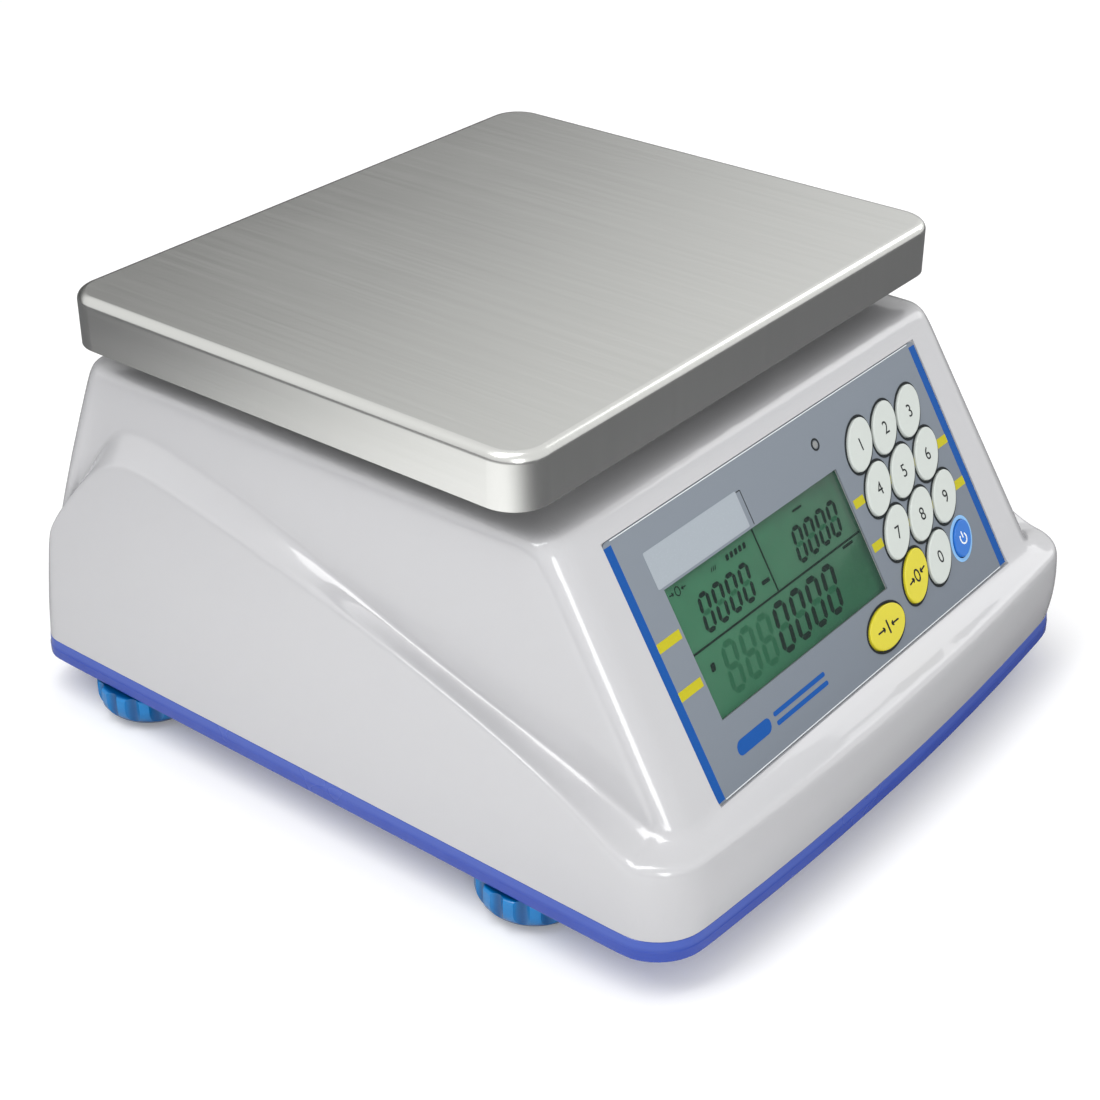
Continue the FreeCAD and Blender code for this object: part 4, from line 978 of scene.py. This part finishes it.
def dress(finish: Finish, *nodes: str) -> None:
    """Gives CAD nodes a finish.

    Args:
        finish: the finish.
        nodes: the nodes' names.
    """
    for node in nodes:
        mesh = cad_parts[node].data
        mesh.materials.clear()
        mesh.materials.append(finish.make())
        LOG.info("node %s wears %s", node, finish.name)


# ---------------------------------------------------------------- sub-assemblies
@dataclass
class Housing:
    """The moulded shell, the tray and what is fixed to their outside."""

    label_size: Place = (64.0, 40.0)

    def build(self) -> None:
        """Dresses the shell, tray and fittings and adds labels, the inlet's surround, the level's
        bubble and the tray's ribs.
        """
        dress(SHELL, "top_housing")
        dress(BAND, "base_tray")
        dress(DARK_TRAY, "battery_door")
        dress(ZINC, "housing_screws", "battery_door_screws", "dc_inlet_nut")
        dress(BLACK, "dc_inlet", "level_bezel")
        dress(VIAL, "level_vial")
        dress(BRASS, "foot_inserts")
        self.under_label()
        self.inlet_surround()
        self.level_bubble()
        self.tray_ribs()

    def under_label(self) -> None:
        """Blank rating label under the tray, with printed empty lines."""
        low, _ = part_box("base_tray")
        base = low[2] / MM
        label = Sketch()
        label.plate(*self.label_size, (-20.0, -70.0, base - 0.16), 0.18, corner=3.0)
        label.finish("rating_label", LABEL)
        rows = Sketch()
        for row in range(4):
            length = 50.0 - 6.0 * (row % 2)
            rows.plate(length, 1.0, (-20.0, -57.0 - 7.0 * row, base - 0.2), 0.08, corner=0.3)
        rows.finish("rating_label_lines", INK_DARK)

    def inlet_surround(self) -> None:
        """Moulded ring round the inlet's socket and the spring contact inside it."""
        low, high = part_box("dc_inlet")
        x = 0.5 * (low[0] + high[0])
        z = 0.5 * (low[2] + high[2])
        seat = high[1] - 1.6 * MM
        ring = Sketch()
        ring.lathe(
            ((3.3 * MM, 1.5 * MM), (3.3 * MM, 1.75 * MM), (6.6 * MM, 1.75 * MM),
             (7.0 * MM, 1.5 * MM), (3.3 * MM, 1.5 * MM)),
            (x, seat, z), (0.0, 1.0, 0.0), 40,
        )
        ring.finish("inlet_ring", INK_WHITE, matrix=Matrix())
        contact = Sketch()
        contact.block((0.0012, 0.007, 0.0003), (x, seat - 0.0045, z + 0.0026), 0.0001)
        contact.finish("inlet_contact", BRASS, matrix=Matrix())

    def level_bubble(self) -> None:
        """Air bubble and printed circle of the spirit level."""
        low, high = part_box("level_vial")
        x, y = 0.5 * (low[0] + high[0]), 0.5 * (low[1] + high[1])
        top = high[2]
        circle = Sketch()
        circle.rim((3.4, 3.4), (3.9, 3.9), (x / MM, y / MM, top / MM + 0.01), 0.05)
        circle.finish("level_circle", INK_DARK)
        bubble = Sketch()
        bubble.lathe(
            ((0.0, -0.9 * MM), (1.6 * MM, -0.75 * MM), (2.3 * MM, -0.45 * MM),
             (2.2 * MM, -0.2 * MM), (1.2 * MM, -0.08 * MM), (0.0, -0.05 * MM)),
            (x + 0.3 * MM, y, top), steps=32,
        )
        bubble.finish("level_air", INK_WHITE, matrix=Matrix())

    def tray_ribs(self) -> None:
        """Raised grid moulded under the tray, clear of feet and door."""
        low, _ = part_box("base_tray")
        base = low[2] / MM
        ribs = Sketch()
        for x in (-86.0, -52.0, 12.0, 46.0):
            ribs.block((1.2, 190.0, 0.8), (x, 20.0, base - 0.35), 0.3)
        for y in (-24.0, 12.0, 48.0, 112.0):
            ribs.block((134.0, 1.2, 0.8), (-20.0, y, base - 0.35), 0.3)
        ribs.finish("tray_ribs", DARK_TRAY)


@dataclass
class WeighingPan:
    """The brushed pan and the stiffeners folded inside it."""

    hem: float = 2.4
    hem_sheet: float = 0.9
    rib_length: float = 66.0

    def build(self) -> None:
        """Dresses the pan and adds its folded hem and underside ribs."""
        dress(PAN_STEEL, "weighing_pan")
        low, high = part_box("weighing_pan")
        centre = middle_of("weighing_pan") / MM
        width = (high[0] - low[0]) / MM
        depth = (high[1] - low[1]) / MM
        hem = Sketch()
        inner = (width - 2.3 - 2.0 * self.hem_sheet, depth - 2.3 - 2.0 * self.hem_sheet)
        self.frame(hem, (width - 2.1, depth - 2.1), inner, (centre.x, centre.y, low[2] / MM + 0.05))
        hem.finish("pan_hem", PAN_STEEL, PAN)
        ribs = Sketch()
        top = high[2] / MM - 1.0
        for y in (-24.0, 24.0):
            ribs.block((self.rib_length, 5.0, 1.6), (centre.x, centre.y + y, top - 0.8), 0.7, 3)
        ribs.finish("pan_ribs", PAN_STEEL, PAN)

    def frame(self, sketch: Sketch, outer: Place, inner: Place, centre: Point) -> None:
        """Rounded rectangular band standing up from centre.

        Args:
            sketch: where it is drawn.
            outer: outside width and depth.
            inner: inside width and depth.
            centre: middle of its underside.
        """
        edges = set()
        for size, corner in ((outer, 11.4), (inner, 10.4)):
            verts = bmesh.ops.create_grid(sketch.bm, x_segments=1, y_segments=1, size=0.5)["verts"]
            sketch.move(verts, Matrix.Diagonal((size[0], size[1], 1.0, 1.0)))
            verts = sketch.round_corners(verts, corner)
            sketch.move(verts, Matrix.Translation(centre))
            faces = {face for vert in verts for face in vert.link_faces}
            edges |= {edge for face in faces for edge in face.edges}
            bmesh.ops.delete(sketch.bm, geom=list(faces), context="FACES_ONLY")
        made = bmesh.ops.bridge_loops(sketch.bm, edges=list(edges))["faces"]
        sketch.raise_faces(made, self.hem)


@dataclass
class Platform:
    """Load cell, spider and cushions under the pan."""

    spacer_reach: float = 0.014

    def build(self) -> None:
        """Dresses the parts, copies the load cell and adds the gauges' sealant and screw washers.
        """
        dress(CAST, "load_cell", "platform_spider")
        self.bending_cell()
        dress(ZINC, "cell_base_spacer", "cell_top_spacer", "cell_base_screws", "cell_top_screws",
              "overload_stops")
        dress(DARK_RUBBER, "pan_cushions")
        _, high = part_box("load_cell")
        middle = middle_of("load_cell") / MM
        seal = Sketch()
        seal.block((12.0, 44.0, 1.4), (middle.x, middle.y, high[2] / MM + 0.6), 0.6, 3)
        seal.finish("gauge_seal", GAUGE)
        seats = Sketch()
        for x in (-0.056, 0.056):
            for y in (-0.055, 0.055):
                seats.rim((6.2, 6.2), (8.4, 8.4), (x / MM, middle.y + y / MM, 0.0), 0.6, sides=32)
        _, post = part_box("platform_spider")
        shift = Matrix.Translation((0.0, 0.0, post[2] - 4.8 * MM))
        seats.finish("post_washers", ZINC, PLATFORM, shift @ MILLIMETRES)

    def bending_cell(self) -> None:
        """Load cell copied from its CAD node, doubled vertices merged, in the node's place."""
        sketch = Sketch()
        sketch.bm.from_mesh(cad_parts["load_cell"].data)
        bmesh.ops.remove_doubles(sketch.bm, verts=sketch.bm.verts, dist=1e-6)
        piece = sketch.wrap("bending_cell", CAST)
        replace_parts(piece, "load_cell")
        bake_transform(piece)


@dataclass
class ControlPanel:
    """Printed film with its stripes, bars, label field and key outlines."""

    half_width: float = 88.5
    height: float = 85.2
    ink: float = 0.05
    stripe: float = 3.6
    bar_rows: tuple[float, float] = (35.5, 51.3)
    bar_height: float = 3.0
    label_field: tuple[float, float, float, float] = (-74.5, -26.4, 9.0, 21.0)
    mark: tuple[float, float, float] = (-46.8, 75.4, 50.0)
    lamp: Place = (18.3, 11.2)
    key_gap: float = 0.32
    bar_spans: tuple[Place, ...] = (
        (-84.9, -73.6), (24.4, 30.4), (45.7, 47.9), (61.6, 63.6), (77.2, 84.9),
    )

    def rectangle(self, sketch: Sketch, left: float, right: float, top: float, bottom: float,
                  corner: float = 0.0) -> None:
        """Printed rectangle.

        Args:
            sketch: where it is drawn.
            left: left edge, across the panel.
            right: right edge.
            top: upper edge, down the panel.
            bottom: lower edge.
            corner: corner radius.
        """
        centre = (0.5 * (left + right), -0.5 * (top + bottom), 0.0)
        sketch.plate(right - left, bottom - top, centre, self.ink, corner)

    def build(self) -> None:
        """Prints the panel."""
        dress(FILM, "panel_overlay")
        stripes = Sketch()
        edge = self.half_width
        self.rectangle(stripes, -edge + 0.05, -edge + self.stripe, 1.6, self.height - 0.6)
        self.rectangle(stripes, edge - self.stripe, edge - 0.05, 1.6, self.height - 0.6)
        stripes.finish_panel("side_stripes", INK_BLUE)
        bars = Sketch()
        for row in self.bar_rows:
            top, bottom = row - 0.5 * self.bar_height, row + 0.5 * self.bar_height
            for left, right in self.bar_spans:
                self.rectangle(bars, left, right, top, bottom)
        bars.finish_panel("level_bars", INK_YELLOW)
        field = Sketch()
        self.rectangle(field, *self.label_field, corner=0.6)
        field.finish_panel("label_field", INK_PALE)
        lines = Sketch()
        self.rectangle(lines, -24.3, -24.0, 9.6, 21.2)
        self.rectangle(lines, -26.2, -24.3, 9.4, 9.7)
        lines.finish_panel("field_edge_line", INK_DARK)
        border = Sketch()
        for down in (0.35, self.height - 0.35):
            border.plate(2.0 * edge - 7.8, 0.3, (0.0, -down, 0.0), self.ink)
        border.finish_panel("film_edge_lines", INK_WHITE)
        self.plain_mark()
        self.key_outlines()
        self.lamp_ring()

    def plain_mark(self) -> None:
        """Plain blue bars in the lower corner, standing for no maker."""
        u, v, length = self.mark
        mark = Sketch()
        mark.plate(0.36 * length, 4.6, (u - 0.32 * length, -v, 0.0), self.ink, 2.2, slant=12.0)
        for up in (1.5, -1.5):
            mark.plate(0.58 * length, 1.5, (u + 0.2 * length, up - v, 0.0), self.ink, 0.7)
        mark.finish_panel("plain_mark", INK_BLUE)

    def key_outlines(self) -> None:
        """Dark raised rims round the key holes and the halo of the power key."""
        rims, halo = Sketch(), Sketch()
        for cap in KEYPAD:
            u, v = on_panel(cap.node)
            hole = (cap.radii[0] + self.key_gap, cap.radii[1] + self.key_gap)
            power = cap.node == "key_power"
            sketch, width, rise = (halo, 1.3, 0.08) if power else (rims, 0.72, 0.12)
            outer = (hole[0] + width, hole[1] + width)
            sketch.rim(hole, outer, (u, -v, 0.0), rise, cap.slant)
        rims.finish_panel("key_rims", INK_DARK)
        halo.finish_panel("power_halo", INK_HALO)

    def lamp_ring(self) -> None:
        """Printed ring round the charging lamp."""
        u, v = self.lamp
        ring = Sketch()
        ring.rim((1.45, 1.45), (2.1, 2.1), (u, -v, 0.0), 0.07, sides=32)
        ring.finish_panel("lamp_ring", INK_DARK)


@dataclass(frozen=True)
class Readout:
    """One group of display digits: its upper left corner, size and count."""

    name: str
    left: float
    top: float
    width: float
    height: float
    pitch: float
    count: int
    stroke: float
    idle: int = 0


@dataclass
class Display:
    """Liquid-crystal cell behind its clear pane."""

    left: float = -72.4
    right: float = 23.1
    top: float = 21.8
    bottom: float = 65.0
    lean: float = 11.0
    face: float = -0.62
    print_height: float = 0.04
    sign: Place = (-66.8, -24.6)
    plain_bars: tuple[tuple[float, float, float, float, float, float], ...] = (
        (4.2, 1.4, -29.3, -38.4, 0.4, 0.0),
        (5.2, 0.8, -2.0, -25.2, 0.3, 0.0),
        (6.0, 1.0, 14.0, -45.0, 0.3, 0.0),
        (2.2, 2.6, -66.2, -50.2, 0.6, 11.0),
    )
    readouts: tuple[Readout, ...] = (
        Readout("weight", -60.4, 29.1, 5.7, 12.2, 7.05, 4, 1.55),
        Readout("price", -9.0, 29.3, 5.5, 11.8, 6.75, 4, 1.5),
        Readout("total", -32.0, 45.8, 7.4, 15.9, 9.3, 4, 1.95, idle=3),
    )

    def build(self) -> None:
        """Makes the pane, the cell, its dividers and every bar."""
        dress(DIFFUSER, "lcd_backlight")
        dress(BLACK, "display_frame")
        width, height = self.right - self.left, self.bottom - self.top
        centre = (0.5 * (self.left + self.right), -0.5 * (self.top + self.bottom))
        pane = Sketch()
        pane.block((width - 0.3, height - 0.3, 0.42), (*centre, -0.28), 0.12)
        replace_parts(pane.finish_panel("display_pane", PANE), "display_window")
        cell = Sketch()
        cell.block((width - 0.2, height - 0.2, 1.6), (*centre, self.face - 0.8), 0.15)
        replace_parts(cell.finish_panel("display_cell", LCD), "lcd_glass")
        self.dividers()
        for readout in self.readouts:
            self.digits(readout)
        self.idle_bars()
        self.small_marks()

    def dividers(self) -> None:
        """Dark lines between the three readouts."""
        lines = Sketch()
        lines.plate(94.6, 0.75, (-25.0, -43.7, self.face), self.print_height)
        lines.plate(0.75, 21.6, (-25.7, -32.8, self.face), self.print_height)
        lines.finish_panel("display_dividers", SEGMENT_DARK)

    def corners(self, readout: Readout, index: int) -> dict[str, Place]:
        """Leaning corners of one digit.

        Args:
            readout: the digit's group.
            index: its place in the group.

        Returns:
            Corner names to panel places (across, up).
        """
        half = 0.5 * readout.stroke
        shear = math.tan(math.radians(self.lean))
        left = readout.left + index * readout.pitch + half
        right = left + readout.width - readout.stroke
        heights = {
            "top": -readout.top - half,
            "mid": -readout.top - 0.5 * readout.height,
            "low": -readout.top - readout.height + half,
        }
        places = {}
        for level, up in heights.items():
            lean = shear * (up + readout.top)
            places[level + "_left"] = (left + lean, up)
            places[level + "_right"] = (right + lean, up)
        return places

    def digit(self, sketch: Sketch, readout: Readout, index: int, bars: Sequence[Segment]) -> None:
        """Draws one digit.

        Args:
            sketch: where it is drawn.
            readout: the digit's group.
            index: its place in the group.
            bars: the bars that show.
        """
        ends = {
            Segment.A: ("top_left", "top_right"),
            Segment.B: ("top_right", "mid_right"),
            Segment.C: ("mid_right", "low_right"),
            Segment.D: ("low_left", "low_right"),
            Segment.E: ("mid_left", "low_left"),
            Segment.F: ("top_left", "mid_left"),
            Segment.G: ("mid_left", "mid_right"),
        }
        places = self.corners(readout, index)
        for bar in bars:
            start, end = (Vector(places[name]) for name in ends[bar])
            gap = (end - start).normalized() * 0.14 * readout.stroke
            self.stroke(sketch, tuple(start + gap), tuple(end - gap), readout.stroke)

    def stroke(self, sketch: Sketch, start: Place, end: Place, width: float) -> None:
        """Draws one bar on the face of the cell.

        Args:
            sketch: where it is drawn.
            start: one tip.
            end: the other tip.
            width: its width.
        """
        sketch.bar(start, end, width, self.face, self.print_height)

    def digits(self, readout: Readout) -> None:
        """Draws a group of zeros.

        Args:
            readout: the group.
        """
        sketch = Sketch()
        for index in range(readout.count):
            self.digit(sketch, readout, index, ZERO_BARS)
        sketch.finish_panel("digits_" + readout.name, SEGMENT_DARK)

    def idle_bars(self) -> None:
        """Draws bars that are off and show only as a faint darker green."""
        sketch = Sketch()
        for readout in self.readouts:
            for index in range(readout.count):
                self.digit(sketch, readout, index, (Segment.G,))
            for index in range(-readout.idle, 0):
                self.digit(sketch, readout, index, tuple(Segment))
        sketch.finish_panel("digits_idle", SEGMENT_IDLE)

    def small_marks(self) -> None:
        """Zero sign between arrows, plain strokes and a row of level bars."""
        marks = Sketch()
        x, y = self.sign
        marks.rim((0.9, 1.2), (1.3, 1.6), (x, y, self.face), self.print_height, sides=24)
        for side in SIDES:
            self.stroke(marks, (x + side * 4.2, y), (x + side * 1.9, y), 0.4)
            for up in (0.6, -0.6):
                self.stroke(marks, (x + side * 2.9, y + up), (x + side * 2.0, y), 0.35)
        for step in range(3):
            self.stroke(marks, (-50.0 + step, -26.1), (-49.2 + step, -24.6), 0.35)
        level_bars = tuple((1.5, 1.9, -41.0 + 2.3 * step, -25.0, 0.4, 11.0) for step in range(5))
        for width, height, across, up, corner, slant in level_bars + self.plain_bars:
            centre = (across, up, self.face)
            marks.plate(width, height, centre, self.print_height, corner, slant)
        marks.finish_panel("display_marks", SEGMENT_DARK)


@dataclass(frozen=True)
class Cap:
    """One key: its node, finish, half axes, slant and what is printed on it."""

    node: str
    finish: Finish
    radii: Place
    slant: float
    text: str

    @property
    def body(self) -> str:
        """The body its print rides on."""
        return self.node + "_button"


def digit_cap(digit: int) -> Cap:
    """Key of one digit."""
    return Cap(f"key_{digit}", KEY_PALE, (9.7, 6.0), 46.0, str(digit))


KEYPAD = tuple(digit_cap(digit) for digit in range(10)) + (
    Cap("key_zero", KEY_YELLOW, (9.7, 6.0), 46.0, "zero"),
    Cap("key_tare", KEY_YELLOW, (10.6, 6.5), 8.0, "tare"),
    Cap("key_power", KEY_BLUE, (6.8, 4.4), 46.0, "power"),
)


@dataclass
class Keypad:
    """The keys, their prints and the rubber and domes behind them."""

    proud: float = 1.0
    ink: float = 0.05
    type_size: float = 6.2

    def build(self) -> None:
        """Dresses every key and prints its mark."""
        dress(MEMBRANE, "keypad_membrane")
        dress(ZINC, "keypad_domes")
        dress(LED, "charging_led")
        for cap in KEYPAD:
            dress(cap.finish, cap.node)
            u, v = on_panel(cap.node)
            sketch = Sketch()
            getattr(self, "mark_" + (cap.text if not cap.text.isdigit() else "digit"))(
                sketch, cap, (u, -v)
            )
            ink = INK_WHITE if cap.text == "power" else INK_KEY
            sketch.finish_panel(cap.node + "_print", ink, cap.body)

    def mark_digit(self, sketch: Sketch, cap: Cap, centre: Place) -> None:
        """Prints the digit."""
        sketch.lettering(cap.text, self.type_size, (*centre, self.proud), self.ink)

    def mark_zero(self, sketch: Sketch, cap: Cap, centre: Place) -> None:
        """Prints a nought between two arrows."""
        x, y = centre
        sketch.rim((0.95, 1.6), (1.6, 2.3), (x, y, self.proud), self.ink, sides=32)
        for side in SIDES:
            self.arrow(sketch, (x + side * 5.6, y + side * 1.2), (x + side * 2.2, y + side * 0.3))

    def mark_tare(self, sketch: Sketch, cap: Cap, centre: Place) -> None:
        """Prints an upright bar between two arrows."""
        x, y = centre
        sketch.plate(0.8, 4.8, (x, y, self.proud), self.ink, 0.3)
        for side in SIDES:
            self.arrow(sketch, (x + side * 6.4, y), (x + side * 2.0, y))

    def mark_power(self, sketch: Sketch, cap: Cap, centre: Place) -> None:
        """Prints the common on and off sign: an open ring and a bar."""
        x, y = centre
        ring = [(math.sin(step), math.cos(step)) for step in
                (math.radians(45.0 + 30.0 * n) for n in range(10))]
        for start, end in zip(ring, ring[1:]):
            sketch.bar(
                (x + 1.9 * start[0], y + 1.9 * start[1]), (x + 1.9 * end[0], y + 1.9 * end[1]),
                0.6, self.proud, self.ink, tip=0.1,
            )
        sketch.plate(0.6, 2.3, (x, y + 1.3, self.proud), self.ink, 0.2)

    def arrow(self, sketch: Sketch, tail: Place, tip: Place) -> None:
        """Draws an arrow.

        Args:
            sketch: where it is drawn.
            tail: where it starts.
            tip: where it points.
        """
        sketch.bar(tail, tip, 0.6, self.proud, self.ink)
        back = (Vector(tail) - Vector(tip)).normalized() * 1.5
        for turn in (35.0, -35.0):
            wing = Vector(tip) + Matrix.Rotation(math.radians(turn), 2) @ back
            sketch.bar(tuple(wing), tip, 0.6, self.proud, self.ink)


@dataclass
class Electronics:
    """Boards, battery and leads inside the housing."""

    chip_legs: int = 12
    resistors: int = 14
    board_thickness: float = 1.6
    capacitor_height: float = 9.0

    def build(self) -> None:
        """Dresses the boards and adds chips, legs, small parts and labels."""
        dress(BOARD, "display_board", "main_board")
        dress(ZINC, "board_screws", "battery_strap")
        dress(BLACK, "battery")
        dress(RED_WIRE, "battery_leads")
        dress(GREY_RIBBON, "ribbon_cable")
        dress(BLACK_WIRE, "load_cell_lead")
        self.main_chip()
        self.small_parts()
        self.battery_label()
        self.display_chips()

    def board_top(self) -> tuple[Vector, float]:
        """Middle of the main board and height of its face, in millimetres."""
        low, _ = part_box("main_board")
        return middle_of("main_board") / MM, low[2] / MM + self.board_thickness

    def leg_shifts(self) -> list[float]:
        """Places of a row of legs from the chip's middle, 1 mm apart."""
        return [index - 0.5 * (self.chip_legs - 1) for index in range(self.chip_legs)]

    def main_chip(self) -> None:
        """Square chip with legs on all sides."""
        middle, top = self.board_top()
        chip = Sketch()
        chip.block((13.0, 13.0, 1.3), (middle.x, middle.y, top + 2.2), 0.25)
        chip.finish("main_chip", CHIP)
        legs = Sketch()
        for shift in self.leg_shifts():
            for side in SIDES:
                reach = side * 7.9
                legs.block((0.4, 1.8, 0.2), (middle.x + shift, middle.y + reach, top + 0.15))
                legs.block((1.8, 0.4, 0.2), (middle.x + reach, middle.y + shift, top + 0.15))
        legs.finish("main_chip_legs", ZINC)

    def small_parts(self) -> None:
        """Rows of chip resistors and the rims of the three capacitors."""
        middle, top = self.board_top()
        parts = Sketch()
        for index in range(self.resistors):
            x = middle.x - 22.0 + 3.3 * index
            y = middle.y - 26.0 - 4.0 * (index % 3)
            parts.block((1.6, 0.9, 0.5), (x, y, top + 0.28), 0.1)
        parts.finish("chip_resistors", CHIP)
        caps = Sketch()
        for across in (4.0, 13.0, 22.0):
            centre = (middle.x + across, middle.y + 27.0, top + self.capacitor_height)
            caps.rim((1.6, 1.6), (2.9, 2.9), centre, 0.12, sides=24)
        caps.finish("capacitor_rims", ZINC)

    def battery_label(self) -> None:
        """Blank label on the battery's top."""
        low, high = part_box("battery")
        middle = middle_of("battery") / MM
        label = Sketch()
        label.plate(24.0, 40.0, (middle.x, low[1] / MM + 30.0, high[2] / MM - 6.98), 0.1, 1.5)
        label.finish("battery_label", LABEL)

    def display_chips(self) -> None:
        """Driver chips on the back of the display board."""
        chips, legs = Sketch(), Sketch()
        for u in (-40.0, 8.0):
            chips.block((9.0, 14.0, 1.2), (u, -26.0, -12.3), 0.25)
            for shift in self.leg_shifts():
                for side in SIDES:
                    legs.block((1.6, 0.4, 0.2), (u + side * 5.2, -26.0 + shift, -11.75))
        chips.finish_panel("driver_chips", CHIP)
        legs.finish_panel("driver_chip_legs", ZINC)


@dataclass
class Feet:
    """The four levelling feet."""

    corners: tuple[str, ...] = ("front_left", "front_right", "rear_left", "rear_right")

    def build(self) -> None:
        """Dresses knobs, studs and pads, each knob's painted rib light and flute shade centred on
        its own axis.
        """
        for corner in self.corners:
            knob = f"foot_{corner}_knob"
            middle = middle_of(knob)
            axis = (middle.x, middle.y)
            # the knob's finish paints light on its ribs and shade in its flutes
            blue = TintedFoot("foot_blue_" + corner, "foot", (0.0, 0.25, 0.66), 0.2, centre=axis)
            dress(blue, knob)
            dress(ZINC, f"foot_{corner}_stud")
            dress(DARK_RUBBER, f"foot_{corner}_pad")
            self.grip_ring(corner, middle)

    def grip_ring(self, corner: str, middle: Vector) -> None:
        """Concentric grip ridges under a pad.

        Args:
            corner: which foot.
            middle: middle of its knob.
        """
        ridges = Sketch()
        for radius in (4.0, 7.0, 10.0):
            ridges.rim((radius - 0.4, radius - 0.4), (radius + 0.4, radius + 0.4),
                       (middle.x / MM, middle.y / MM, 0.02), 0.3, sides=40)
        ridges.finish(f"foot_{corner}_ridges", DARK_RUBBER, "pad_" + corner)


# ---------------------------------------------------------------- studio
@dataclass(frozen=True)
class SoftBox:
    """One rectangular studio light, aimed at a point."""

    name: str
    place: Point
    target: Point
    size: Place
    power: float

    def hang(self) -> None:
        """Adds the light."""
        light = bpy.data.lights.new(self.name, "AREA")
        light.shape = "RECTANGLE"
        light.size, light.size_y = self.size
        light.energy = self.power
        holder = bpy.data.objects.new(self.name, light)
        holder.location = self.place
        aim = Vector(self.target) - Vector(self.place)
        holder.rotation_euler = aim.to_track_quat("-Z", "Y").to_euler()
        bpy.context.scene.collection.objects.link(holder)


@dataclass
class Studio:
    """Floor, lights and camera."""

    eye: Point = (-0.5108, -0.3979, 0.4327)
    turn: Point = (59.66, 0.0, -51.67)
    lens: float = 69.6
    shift: Place = (0.0027, -0.0076)
    floor_size: float = 8.0
    floor_white: Rgb = (0.93, 0.93, 0.93)
    floor_card: Rgb = (0.13, 0.13, 0.135)
    card_middle: Place = (-0.34, -0.03)
    dark_side: Point = (0.35, 0.85, -0.4)
    dark_range: tuple[float, float, float, float] = (0.52, 0.67, 0.8, 0.07)
    lights: tuple[SoftBox, ...] = (
        SoftBox("overhead", (-0.55, 0.1, 1.45), (0.0, 0.0, 0.1), (0.45, 1.3), 9.5),
        SoftBox("front_corner", (-1.0, -1.1, 0.5), (0.0, 0.0, 0.1), (0.36, 0.8), 4.8),
        SoftBox("right_fill", (1.5, -0.3, 1.0), (0.0, 0.0, 0.1), (0.6, 0.9), 2.5),
    )

    def build(self) -> None:
        """Sets up the floor, the world, the lights and the camera."""
        bpy.context.scene.view_settings.view_transform = "Standard"
        self.lay_floor()
        self.light_world()
        for light in self.lights:
            light.hang()
        self.set_camera()

    def lay_floor(self) -> None:
        """Pale plain floor; metal and gloss see most of it as a dark card."""
        bm = bmesh.new()
        bmesh.ops.create_grid(bm, x_segments=1, y_segments=1, size=0.5 * self.floor_size)
        mesh = bpy.data.meshes.new("floor")
        bm.to_mesh(mesh)
        bm.free()
        graph = Graph("floor_paper")
        graph.set(Roughness=0.9, Specular_IOR_Level=0.1)
        rays = graph.add("ShaderNodeLightPath")
        x, y, _ = graph.parts(graph.place())
        across, along = x - self.card_middle[0], y - self.card_middle[1]
        apart = (across * across + along * along) ** 0.5
        dim = apart.ramp(0.1, 0.42) * Signal(graph, rays.outputs["Is Glossy Ray"])
        paper = graph.blend(dim, self.floor_white, self.floor_card)
        graph.set(Base_Color=paper, Emission_Color=(1.0, 1.0, 1.0))
        graph.set(Emission_Strength=Signal(graph, rays.outputs["Is Camera Ray"]) * 0.12)
        mesh.materials.append(graph.material)
        floor = bpy.data.objects.new("floor", mesh)
        bpy.context.scene.collection.objects.link(floor)

    def light_world(self) -> None:
        """White surroundings, darker low down behind the model; the camera sees them white."""
        world = bpy.data.worlds.new("studio")
        world.use_nodes = True
        background = world.node_tree.nodes["Background"]
        background.inputs["Strength"].default_value = 1.0
        nodes, link = world.node_tree.nodes, world.node_tree.links.new
        place = nodes.new("ShaderNodeTexCoord")
        side = nodes.new("ShaderNodeVectorMath")
        side.operation = "DOT_PRODUCT"
        side.inputs[1].default_value = self.dark_side
        tone = nodes.new("ShaderNodeMapRange")
        for name, value in zip(("From Min", "From Max", "To Min", "To Max"), self.dark_range):
            tone.inputs[name].default_value = value
        link(place.outputs["Generated"], side.inputs[0])
        link(side.outputs["Value"], tone.inputs["Value"])
        rays = nodes.new("ShaderNodeLightPath")
        seen = nodes.new("ShaderNodeMath")
        seen.operation = "MAXIMUM"
        link(tone.outputs[0], seen.inputs[0])
        link(rays.outputs["Is Camera Ray"], seen.inputs[1])
        link(seen.outputs[0], background.inputs["Color"])
        bpy.context.scene.world = world

    def set_camera(self) -> None:
        """Adds the camera."""
        camera = bpy.data.cameras.new("camera")
        camera.lens = self.lens
        camera.sensor_width = 36.0
        camera.shift_x, camera.shift_y = self.shift
        camera.clip_start = 0.01
        holder = bpy.data.objects.new("camera", camera)
        holder.location = self.eye
        holder.rotation_euler = tuple(math.radians(angle) for angle in self.turn)
        bpy.context.scene.collection.objects.link(holder)
        bpy.context.scene.camera = holder


def main() -> None:
    """Builds every sub-assembly in order."""
    logging.basicConfig(level=logging.INFO, format="%(name)s: %(message)s")
    for assembly in (
        Housing(), WeighingPan(), Platform(), ControlPanel(), Display(), Keypad(), Electronics(),
        Feet(), Studio(),
    ):
        LOG.info("building %s", type(assembly).__name__)
        assembly.build()


if __name__ == "__main__":
    main()
